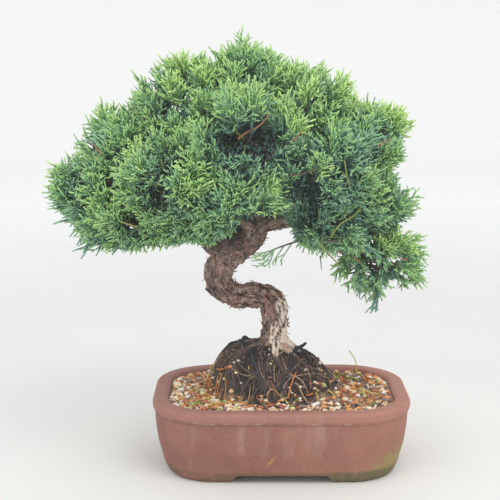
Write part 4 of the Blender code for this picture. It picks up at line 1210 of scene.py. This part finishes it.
def limb_table(limbs, spacing=0.0012):
    """Close samples of all limbs: place, direction, side, run along the limb, radius."""
    rows = []
    for samples in limbs.values():
        points = np.array(curved(samples, 8))
        run = np.concatenate([[0.0], np.cumsum(np.linalg.norm(np.diff(points[:, :3], axis=0), axis=1))])
        stations = np.arange(0.0, run[-1], spacing)
        fine = np.stack([np.interp(stations, run, points[:, i]) for i in range(4)], axis=1)
        tangents = np.gradient(fine[:, :3], axis=0)
        tangents /= np.linalg.norm(tangents, axis=1)[:, None]
        side = np.cross(tangents[0], (0.3, 1.0, 0.2))
        for place, tangent, station in zip(fine, tangents, stations):
            side = side - tangent * side.dot(tangent)
            side /= np.linalg.norm(side)
            rows.append((*place, *tangent, *side, station))
    return np.array(rows)


def limb_finder(table):
    """A search tree over the rows of a limb table."""
    finder = KDTree(len(table))
    for index, row in enumerate(table):
        finder.insert(row[:3], index)
    finder.balance()
    return finder


def fused_skin(name, limbs, voxel):
    """One closed skin round several limbs, by remeshing their tubes together."""
    heap = Heap()
    for samples in limbs.values():
        path = np.array(curved(samples, 4))
        points, faces = tube(path[:, :3], path[:, 3], 20)
        heap.add(points, faces)
    obj = heap.build(name, [])
    modifier = obj.modifiers.new("remesh", "REMESH")
    modifier.mode = "VOXEL"
    modifier.voxel_size = voxel
    graph = bpy.context.evaluated_depsgraph_get()
    mesh = bpy.data.meshes.new_from_object(obj.evaluated_get(graph))
    obj.modifiers.clear()
    obj.data = mesh
    return obj


def vectors_of(items, key):
    """An array of one vector for each vertex or normal of a mesh."""
    values = np.zeros(len(items) * 3, np.float32)
    items.foreach_get(key, values)
    return values.reshape(-1, 3).astype(float)


def add_bark(obj, table, finder):
    """Displaces a skin into shaggy fibrous bark and stores what its material reads."""
    mesh = obj.data
    points = vectors_of(mesh.vertices, "co")
    normals = vectors_of(mesh.vertex_normals, "vector")
    rows = table[[finder.find(point)[1] for point in points]]
    away, ahead, side = points - rows[:, :3], rows[:, 4:7], rows[:, 7:10]
    along, u, w = (np.einsum("ij,ij->i", away, way) for way in (ahead, side, np.cross(ahead, side)))
    run = rows[:, 10] + along
    cos, sin = np.cos(BARK_TWIST * run), np.sin(BARK_TWIST * run)
    grain = np.stack([u * cos - w * sin, u * sin + w * cos, run], axis=1)

    def field(across, length, seed, layers, gain=0.5):
        """Layered noise in the bark's grain, by how fine it is across and along the limb."""
        return layered(grain * (across, across, length), seed, layers, gain)

    lobes = field(95.0, 70.0, 31, 2)
    burrs = ramp(field(150.0, 110.0, 35, 2), 0.18, 0.42)
    cracks = 1.0 - ramp(np.abs(field(240.0, 62.0, 41, 3, 0.55)), 0.0, 0.22)
    plates = ramp(field(230.0, 150.0, 51, 3, 0.6), -0.15, 0.15) - 0.5
    scales = ramp(field(420.0, 230.0, 57, 2, 0.6), -0.10, 0.20) - 0.5
    fibres = field(1100.0, 150.0, 61, 2, 0.6)
    bare = bare_wood(points, normals, grain)
    flaky = 1.0 - 0.65 * bare
    shift = 0.0013 * lobes + 0.0009 * burrs + 0.00035 * fibres
    shift += flaky * (0.0012 * plates + 0.0008 * scales - 0.0014 * cracks)
    shift *= np.clip(rows[:, 3] / 0.010, 0.12, 1.0)
    # How high the bark stands; its material paints shade into the low places
    relief = np.clip(0.45 + 0.30 * plates + 0.25 * scales - 0.45 * cracks + 0.12 * fibres, 0.0, 1.0)
    points = points + normals * shift[:, None]
    mesh.vertices.foreach_set("co", points.astype(np.float32).ravel())
    for name, kind, key, values in (
        ("grain", "FLOAT_VECTOR", "vector", grain),
        ("relief", "FLOAT", "value", relief),
        ("bare", "FLOAT", "value", bare),
    ):
        mesh.attributes.new(name, kind, "POINT").data.foreach_set(key, values.astype(np.float32).ravel())
    mesh.update()
    mesh.shade_smooth()


def bare_wood(points, normals, grain):
    """How bare of bark the trunk is: pale wood on the outside of its lowest bend."""
    x, z = points[:, 0], points[:, 2]
    torn = 0.42 * layered(grain * (170.0, 170.0, 60.0), 71, 3)
    outside = ramp(normals[:, 0] - 0.35 * normals[:, 1] + torn + 26.0 * (0.124 - z), 0.26, 0.50)
    low = ramp(z, 0.142, 0.130) * ramp(z, 0.088, 0.092)
    return outside * low * ramp(x, -0.016, -0.008)


def make_flakes(trunk, table, finder):
    """Strips of bark that have come loose at one end and curl away from the trunk."""
    chance = random.Random(77)
    mesh = trunk.data
    heap = Heap()
    for _ in range(FLAKE_TRIES):
        vertex = mesh.vertices[chance.randrange(len(mesh.vertices))]
        place, normal = np.array(vertex.co), np.array(vertex.normal)
        row = table[finder.find(place)[1]]
        if row[3] < 0.0035 or place[2] < 0.094:
            continue
        along = row[4:7] * chance.choice((-1.0, 1.0))
        along = along + np.array([chance.uniform(-0.35, 0.35) for _ in range(3)])
        along -= normal * along.dot(normal)
        along /= np.linalg.norm(along)
        across = np.cross(normal, along)
        length, width = chance.uniform(0.0018, 0.0062), chance.uniform(0.0006, 0.0017)
        lift = chance.uniform(0.0004, 0.0022) * (1.5 if chance.random() < 0.15 else 1.0)
        points = []
        for t in (0.0, 0.25, 0.5, 0.75, 1.0):
            middle = place + along * length * (t - 0.15) + normal * (lift * t * t - 0.0002)
            half = width * (1.0 - 0.6 * t)
            points += [
                middle + across * half * side + normal * FLAKE_THICKNESS * up
                for side, up in ((-1, -1), (1, -1), (1, 1), (-1, 1))
            ]
        heap.add(points, loft(4, 5), chance.choices(range(4), FLAKE_SHARES)[0])
    materials = [mottled("litter_" + name, colour, dark, DRY_BARK) for name, colour, dark in FLAKE_COLOURS]
    finish_piece(heap.build("bark_flakes", materials, smooth=False), "bark")


def make_limbs():
    """Trunk, surface roots and boughs in one barked skin. Returns the limbs' samples."""
    limbs = {"trunk": curved(TRUNK_WAYPOINTS, TRUNK_STEPS)}
    for name in BOUGHS:
        limbs[name] = bough_samples(name, limbs)
    skinned = {name: samples for name, samples in limbs.items() if name != "bough_wisp"}
    skinned |= {f"root_{index}": root_samples(index) for index in range(ROOT_COUNT)}
    table = limb_table(skinned)
    finder = limb_finder(table)
    wood = fused_skin("trunk_and_boughs", skinned, TRUNK_VOXEL)
    wood.data.materials.append(bark())
    add_bark(wood, table, finder)
    make_flakes(wood, table, finder)
    finish_piece(wood, "bark", "trunk", *BOUGHS)
    return limbs


# Foliage


def spray_pattern(seed, sparse):
    """Points, triangles and tip flags of one loose spray of cord-like shoots, along +Z."""
    chance = random.Random(f"spray {seed}")
    shoots = []

    def grow(start, direction, lengths, radius, bend):
        """A shoot of a few straight parts. Returns its start, end and direction by part."""
        places, parts = [start], []
        for length in lengths:
            end = start + direction * length
            parts.append((start, end, direction))
            places.append(end)
            start = end
            direction = (direction + bend).normalized()
        last = len(places) - 1
        radii = [radius * (1.0 - 0.20 * i / last) for i in range(last)] + [radius * 0.70]
        shoots.append((places, radii))
        return parts

    def aside(direction, angle, lean):
        """A direction turned in the spray's plane by an angle, and a little out of it."""
        flat = Matrix.Rotation(angle, 3, "Y") @ direction
        return (flat + Vector((0.0, lean, 0.0))).normalized()

    sway = Vector((chance.uniform(-0.15, 0.15), chance.uniform(-0.12, 0.12), 0.0))
    part = SPRAY_LENGTH / 4
    axis = grow(Vector(), Vector((0, 0, 1)), [part * 1.1, part * 1.1, part, part * 0.8], SHOOT_RADIUS, sway)
    side = chance.choice((-1, 1))
    count = 4 if sparse else 6
    for index in range(count):
        t = 0.10 + 0.72 * index / (count - 1) + chance.uniform(-0.04, 0.04)
        start, end, direction = axis[min(int(t * 4), 3)]
        root = start.lerp(end, t * 4 - min(int(t * 4), 3))
        side = -side
        length = SPRAY_LENGTH * (0.66 - 0.34 * t) * chance.uniform(0.78, 1.22)
        heading = aside(direction, math.radians(chance.uniform(22, 42)) * side, chance.uniform(-0.5, 0.5))
        inward = (direction - heading) * 0.28
        shoot = grow(root, heading, [length * 0.56, length * 0.44], SHOOT_RADIUS, inward)
        flip = chance.choice((-1, 1))
        twigs = (1 if sparse else 2) if t < 0.45 else 1 if t < 0.78 and not sparse else 0
        for step in range(twigs):
            first, last, way = shoot[step]
            place = first.lerp(last, chance.uniform(0.45, 0.85) if step == 0 else chance.uniform(0.1, 0.5))
            flip = -flip
            aim = aside(way, flip * math.radians(chance.uniform(24, 40)), chance.uniform(-0.5, 0.5))
            grow(place, aim, [length * chance.uniform(0.34, 0.52)], SHOOT_RADIUS * 0.95, Vector())
    return shoots_to_mesh(shoots)


def shoots_to_mesh(shoots):
    """Closed three-sided shoots, with a flag on the faces of each shoot's fresh end."""
    points, faces, tips = [], [], []
    for number, (places, radii) in enumerate(shoots):
        last = len(places) - 1
        faces.append(loft(3, last + 1) + len(points))
        for i, (place, radius) in enumerate(zip(places, radii)):
            ahead = places[min(i + 1, last)] - places[max(i - 1, 0)]
            turn = ahead.to_track_quat("Z", "Y").to_matrix()
            for k in range(3):
                angle = math.tau * k / 3 + number
                offset = Vector((radius * math.cos(angle), radius * math.sin(angle), 0.0))
                points.append(place + turn @ offset)
        tips += [False] * 6 * (last - 1) + [True] * 6 + [last == 1, True]
    return np.array([tuple(p) for p in points]), np.concatenate(faces), np.array(tips)


def in_picture(points):
    """Where the photograph's camera sees an array of points, in its pixels."""
    away = points - np.array(CAMERA_PLACE)
    sin, cos = math.sin(CAMERA_TILT), math.cos(CAMERA_TILT)
    depth = away[:, 1] * cos - away[:, 2] * sin
    across, up = away[:, 0] / depth, (away[:, 1] * sin + away[:, 2] * cos) / depth
    return PICTURE_SIDE / 2 + FOCAL_PIXELS * np.stack((across, -up), axis=1)


def openings():
    """All openings as rows of an array, with the places where the shown twigs are seen."""
    chance = random.Random("openings")
    rows = list(OPENINGS)
    for places, *_ in SHOWN_TWIGS:
        path = np.array([tuple(point)[:3] for point in curved(places, 4)])
        for (u, v), y in zip(in_picture(path), path[:, 1]):
            if chance.random() < TWIG_SHOWN:
                rows.append((u, v, TWIG_ROOM, TWIG_ROOM, y + 0.002))
    return np.array(rows, float)


class Crown:
    """What all masses share: the limbs to keep clear of, the spray patterns and the twigs."""

    def __init__(self, limbs):
        self.limbs = limbs
        self.table = limb_table(limbs)
        self.finder = limb_finder(self.table)
        self.patterns = [spray_pattern(seed, seed >= SPRAY_PATTERNS) for seed in range(2 * SPRAY_PATTERNS)]
        self.sketches = [points[::4] for points, _, _ in self.patterns]
        self.openings = openings()
        self.twigs = Heap()
        self.tones = [plain(name, colour, 0.62) for name, colour in TONES]

    def clear_of_limbs(self, point):
        """True where a point lies outside every limb by a millimetre."""
        _, index, distance = self.finder.find(point)
        return distance > self.table[index][3] + 0.001

    def closes_opening(self, pattern, matrix, root, size):
        """True where a spray would stand in one of the openings."""
        placed = (self.sketches[pattern] * size) @ matrix.T + np.array(root)
        across = (in_picture(placed)[:, None, :] - self.openings[None, :, :2]) / self.openings[None, :, 2:4]
        inside = (across**2).sum(axis=2) < 1.0
        inside &= placed[:, None, 1] < self.openings[None, :, 4]
        large = self.openings[:, 2] > LARGE_OPENING
        return inside[:, ~large].any() or inside[:, large].sum() > OPENING_SLACK

    def has_room(self, points, mass, edge=1.0, margin=-0.10):
        """True where all points keep to about the mass's own space and clear of the limbs."""
        for point in points:
            own = reach_in_mass(point, mass)
            if own > edge or not self.clear_of_limbs(point):
                return False
            if any(reach_in_mass(point, other) < own + margin for other in MASSES if other != mass):
                return False
        return True

    def add_twig(self, path, thick, thin, kind, sides=5):
        """One twig along a path."""
        radii = np.linspace(thick, thin, len(path))
        self.twigs.add(*tube([tuple(p)[:3] for p in path], radii, sides), kind)


def outside_box(points):
    """How far an array of points reaches out of the frame's own box."""
    low, high = (np.array(corner) - np.array(MIDDLE) for corner in CAD_BOX)
    return max((low - points.min(axis=0)).max(), (points.max(axis=0) - high).max())


def scaled(mass, direction, share):
    """The place at a share of a mass's reach, in a direction from its heart."""
    centre, radii = MASSES[mass][:2]
    return Vector(c + d * r * share for c, d, r in zip(centre, direction, radii))


def even_directions(count, turn):
    """Unit vectors spread evenly over the sphere, on a spiral."""
    for i in range(count):
        z = 1.0 - (2 * i + 1) / count
        across = math.sqrt(1.0 - z * z)
        angle = i * GOLDEN_ANGLE + turn
        yield Vector((across * math.cos(angle), across * math.sin(angle), z))


def spray_frame(aim, face, chance):
    """Rotation that points a spray along aim, its flat side roughly towards face."""
    across = aim.cross(face)
    if across.length < 0.1:
        across = aim.orthogonal()
    across.normalize()
    across = Matrix.Rotation(chance.gauss(0.0, 0.6), 3, aim) @ across
    other = aim.cross(across).normalized()
    return np.array(Matrix((across, other, aim)).transposed())


def grow_tuft(crown, mass, tip, outward, tone, chance, sprays, rows):
    """A twig's last stretch with the sprays that fan out from it."""
    lift = MASSES[mass][3]
    heart = Vector(MASSES[mass][0])
    aim = (outward + Vector((0.0, 0.0, lift + TUFT_RISE))).normalized()
    end = tip - aim * SPRAY_LENGTH * 0.85
    base = end - aim * min(TUFT_LENGTH, 0.5 * (end - heart).length)
    reach = reach_in_mass(base, mass)
    if reach > TUFT_BASE_REACH:
        base = heart + (base - heart) * (TUFT_BASE_REACH / reach)
    phase = chance.uniform(0.0, math.tau)
    crest = LEADER_CREST if mass == "crown_top" and tip.z > heart.z + 0.012 else 1.0
    grown = 0
    for index in range(sprays):
        t = index / max(sprays - 1, 1)
        root = base.lerp(end, t)
        spread = math.radians(68.0 - 58.0 * t) * chance.uniform(0.75, 1.15)
        around = Matrix.Rotation(phase + index * GOLDEN_ANGLE, 3, aim) @ aim.orthogonal().normalized()
        way = aim * math.cos(spread) + around * math.sin(spread)
        way = (way + Vector((0.0, 0.0, 0.35 * lift)) + outward * 0.15).normalized()
        size = chance.uniform(0.85, 1.25)
        edge = chance.uniform(0.96, 1.05) * crest
        matrix = spray_frame(way, outward + Vector((0.0, 0.0, 0.6)), chance)
        pattern = chance.randrange(SPRAY_PATTERNS)
        for _ in range(SPRAY_TRIES):
            reach = [root + way * SPRAY_LENGTH * size * part for part in (1.0, 0.7, 0.4)]
            if crown.has_room(reach, mass, edge) and not crown.closes_opening(pattern, matrix, root, size):
                break
            size *= SPRAY_SHRINK
        else:
            continue
        share = reach_in_mass(reach[0], mass)
        rows.append((pattern, matrix, root, size, tone, share, way.z))
        grown += 1
    return base, end, grown


def grow_mass(crown, mass):
    """All sprays of one mass, and the twigs that carry them."""
    chance = random.Random("looks of " + mass)
    centre = Vector(MASSES[mass][0])
    carrier = next((name for name, row in BOUGHS.items() if row[2] == mass), "trunk")
    limb_end = crown.limbs[carrier][-1]
    stem_start = Vector(limb_end[:3])
    stem = [stem_start.lerp(centre, t / 4) for t in range(5)]
    crown.add_twig(stem, limb_end[3] * 0.95, limb_end[3] * 0.5, 0, 6)
    rows = []
    tufts = int(TUFTS * THINNED.get(mass, 1.0))
    for direction in even_directions(tufts, chance.uniform(0.0, math.tau)):
        direction = (direction + Vector([chance.uniform(-0.22, 0.22) for _ in range(3)])).normalized()
        share = chance.uniform(0.84, 1.02)
        if mass == "crown_top" and direction.z > 0.3:
            share *= LEADER_CREST
        while share > TUFT_NEAREST:
            if crown.has_room([scaled(mass, direction, share)], mass, 1.02, -0.04):
                break
            share *= TUFT_SHRINK
        else:
            continue
        tip = scaled(mass, direction, share)
        flow = (tip - Vector(CROWN_HEART)).normalized()
        outward = ((tip - centre).normalized() + flow * 0.7).normalized()
        tone = MASSES[mass][2] + chance.uniform(-0.7, 0.7)
        base, end, grown = grow_tuft(crown, mass, tip, outward, tone, chance, SPRAYS_PER_TUFT, rows)
        if not grown:
            continue
        bend = Vector([chance.uniform(-0.004, 0.004) for _ in range(3)])
        start = stem_start.lerp(centre, chance.uniform(0.0, 0.8))
        way = [start, start.lerp(base, 0.5) + bend, base, end]
        thick = chance.uniform(0.0008, 0.0013)
        crown.add_twig(curved(way, 3), thick, thick * 0.45, chance.choices(range(4), TWIG_SHARES)[0])
    if mass in STRAGGLERS:
        grow_stragglers(crown, mass, STRAGGLERS[mass], chance, rows)
    if mass == "crown_top":
        for size, back, lean in LEADER_SPRAYS:
            root = Vector(LEADER_TIP) - Vector((0.0, 0.0, SPRAY_LENGTH * size + back))
            way = Vector((lean, 0.0, 1.0)).normalized()
            pattern = SPRAY_PATTERNS + chance.randrange(SPRAY_PATTERNS)
            rows.append((pattern, spray_frame(way, Vector((0, -1, 0)), chance), root, size, 0.3, 1.0, 0.5))
    build_sprays(crown, mass, rows, chance)


def grow_stragglers(crown, mass, count, chance, rows):
    """Long thin shoots that hang out of the underside of a mass."""
    centre = MASSES[mass][0]
    out = Vector((centre[0] - CROWN_HEART[0], centre[1] - CROWN_HEART[1], 0.0)).normalized()
    for _ in range(count):
        side = Vector((chance.uniform(-1, 1), chance.uniform(-1, 1), 0.0)) * 0.7
        below = (out * 0.5 + side + Vector((0.0, 0.0, -0.9))).normalized()
        root = scaled(mass, below, chance.uniform(0.55, 0.8))
        if not crown.clear_of_limbs(root):
            continue
        way = out * chance.uniform(0.3, 1.1) + side + Vector((0.0, 0.0, chance.uniform(-1.1, -0.2)))
        way.normalize()
        size = chance.uniform(1.0, 1.45)
        matrix = spray_frame(way, Vector((0.0, -1.0, 0.3)), chance)
        pattern = SPRAY_PATTERNS + chance.randrange(SPRAY_PATTERNS)
        if crown.closes_opening(pattern, matrix, root, size):
            continue
        rows.append((pattern, matrix, root, size, -0.2, 0.75, 0.0))
        inner = root.lerp(Vector(centre), 0.7)
        crown.add_twig([inner, root.lerp(inner, 0.5), root, root + way * 0.004], 0.0008, 0.0005, 3)


def build_sprays(crown, mass, rows, chance):
    """One mesh of all sprays of a mass, its colours dealt out by spray, with light and shade painted into
    them.
    """
    heap = Heap()
    heart = Vector(MASSES[mass][0])
    last = len(TONES) - 1
    for pattern, matrix, root, size, tone, share, up in rows:
        points, faces, tips = crown.patterns[pattern]
        placed = (points * size) @ matrix.T + np.array(root)
        while outside_box(placed) > 0.0:
            root = root - (root - heart) * 0.02
            placed = (points * size) @ matrix.T + np.array(root)
        # Painted light and shade: a spray is lighter the farther out in its mass, the more it faces up and
        # the higher it sits, and darker in the shaded places; its tips are lighter still, partly the paler
        # green of new growth
        crest = (root.z - heart.z) / MASSES[mass][1][2]
        seen = in_picture(np.array([root]))[0]
        shade = max(1.0 - ((seen[0] - u) / w) ** 2 - ((seen[1] - v) / h) ** 2 for u, v, w, h in SHADED)
        tone = tone - SHADE_DEPTH * max(shade, 0.0)
        light = 0.6 + 2.3 * ramp(share, 0.50, 1.0) + 0.4 * up + 0.7 * crest + tone + chance.uniform(-0.5, 0.5)
        body = int(np.clip(round(light), 0, last - 1))
        tip = int(np.clip(round(light + chance.uniform(0.8, 2.0)), 0, last))
        heap.add(placed, faces, np.where(tips, tip, body))
    finish_piece(heap.build("sprays_" + mass, crown.tones), "foliage", "foliage_" + mass)


def grow_wisp(crown):
    """The thin twig that hangs free in front of the trunk, with a few long shoots."""
    chance = random.Random(3)
    heap = Heap()
    crown.add_twig(curved(WISP_STEM, 5), 0.0011, 0.0005, 2, 6)
    for shoot in WISP_SHOOTS:
        path = curved(shoot, 4)
        points, faces = tube(path, np.linspace(0.00062, 0.00040, len(path)), 5)
        heap.add(points, faces, np.where(np.arange(len(faces)) < len(faces) * 0.6, 3, 4))
        for _ in range(3):
            share = chance.uniform(0.35, 0.85)
            root = Vector(point_along(path, share))
            ahead = (Vector(point_along(path, min(share + 0.1, 1.0))) - root).normalized()
            turn = Matrix.Rotation(chance.choice((-1, 1)) * chance.uniform(0.4, 0.7), 3, "Y")
            end = root + (turn @ ahead) * chance.uniform(0.003, 0.006)
            places = [tuple(root), tuple(root.lerp(end, 0.5)), tuple(end)]
            heap.add(*tube(places, (0.00048, 0.00045, 0.00030), 5), 4)
    finish_piece(heap.build("sprays_wisp", crown.tones), "foliage", "foliage_wisp")


def make_foliage(limbs):
    """Every mass of foliage, and all the twigs in them as one piece."""
    crown = Crown(limbs)
    for mass in MASSES:
        if mass == "wisp":
            grow_wisp(crown)
        else:
            grow_mass(crown, mass)
    for places, thick, thin, kind in SHOWN_TWIGS:
        crown.add_twig(curved(places, 4), thick, thin, kind, 6)
    twigs = crown.twigs.build("twigs", [plain(name, colour, 0.75) for name, colour in TWIG_COLOURS])
    finish_piece(twigs, "bark")


# Stage, light and camera


# A round floor that rises all round into a wall: its flat radius, bend, height and inner flat
FLOOR_RADIUS = 2.2
FLOOR_BEND = 0.6
BACKDROP_TOP = 1.8
FLOOR_MIDDLE = 0.6
STAGE_SPOKES = 96


def make_stage():
    """A pale round floor that rises into a pale backdrop, the same from every side, with painted shade in a
    ring round the pot.
    """
    g = Graph("stage_paper", 0.9)
    x, y, _ = g.axes()
    away = g.math("SQRT", g.math("ADD", g.product(x, x), g.product(y, y)))
    # Painted shade in a darker ring round the pot, and painted light that makes the floor paler farther out
    # and up the backdrop
    g.base = g.mix(g.step(away, 0.24, 0.34), (228, 227, 224), (223, 223, 221))
    g.coat((245, 245, 244), g.step(away, 0.55, 1.70))
    g.coat((244, 243, 240), g.step(g.spots(3.0, 2.0), 0.2, 1.8))
    # From the top down to the floor's middle, so that the skin faces inwards
    profile = [(FLOOR_RADIUS + FLOOR_BEND, BACKDROP_TOP)]
    for step in range(12, 0, -1):
        angle = math.radians(90.0) * step / 12
        out, up = FLOOR_BEND * math.sin(angle), FLOOR_BEND - FLOOR_BEND * math.cos(angle)
        profile.append((FLOOR_RADIUS + out, up))
    profile += [(FLOOR_RADIUS, 0.0), (FLOOR_MIDDLE, 0.0)]
    turns = np.arange(STAGE_SPOKES) * math.tau / STAGE_SPOKES
    circle = np.stack([np.cos(turns), np.sin(turns)], axis=1)
    rings = [np.column_stack([circle * radius, np.full(STAGE_SPOKES, z)]) for radius, z in profile]
    skin = loft(STAGE_SPOKES, len(rings))
    walls = 2 * STAGE_SPOKES * (len(rings) - 1)
    # Every other cap face closes the top, which stays open
    faces = np.concatenate([skin[:walls], skin[walls + 1 :: 2]])
    floor = array_object("stage_floor", np.concatenate(rings), faces, [g.done()])
    floor.location = MIDDLE


def area_light(name, place, target, size, power, colour=(1.0, 1.0, 1.0)):
    """A soft square light that looks at a place."""
    data = bpy.data.lights.new(name, "AREA")
    data.shape = "SQUARE"
    data.size = size
    data.energy = power
    data.color = colour
    lamp = bpy.data.objects.new(name, data)
    bpy.context.scene.collection.objects.link(lamp)
    lamp.location = MIDDLE + Vector(place)
    lamp.rotation_euler = (MIDDLE + Vector(target) - lamp.location).to_track_quat("-Z", "Y").to_euler()


def make_light():
    """Soft daylight from all round, a little stronger from above, the front and the left."""
    world = bpy.data.worlds.new("daylight")
    bpy.context.scene.world = world
    world.use_nodes = True
    background = world.node_tree.nodes["Background"]
    background.inputs["Color"].default_value = (0.965, 0.98, 1.0, 1.0)
    background.inputs["Strength"].default_value = 1.05
    area_light("key", (0.6, -0.9, 1.5), (-0.03, 0.0, 0.20), 0.9, 9.0, (1.0, 0.985, 0.96))
    area_light("fill", (-0.9, -1.2, 0.9), (0.0, 0.0, 0.15), 1.1, 4.5)


def make_camera():
    """The photograph's view: level with the crown, looking a little down."""
    data = bpy.data.cameras.new("camera")
    data.lens = LENS
    data.sensor_width = SENSOR
    camera = bpy.data.objects.new("camera", data)
    bpy.context.scene.collection.objects.link(camera)
    camera.location = MIDDLE + Vector(CAMERA_PLACE)
    camera.rotation_euler = (math.radians(90.0) - CAMERA_TILT, 0.0, 0.0)
    bpy.context.scene.camera = camera
    settings = bpy.context.scene.view_settings
    settings.view_transform = "Standard"
    settings.use_curve_mapping = True
    settings.curve_mapping.black_level = (-HAZE, -HAZE, -HAZE)
    settings.curve_mapping.update()


make_camera()
make_light()
make_stage()
make_pot()
make_soil()
make_gravel()
make_fine_roots()
make_litter()
make_foliage(make_limbs())
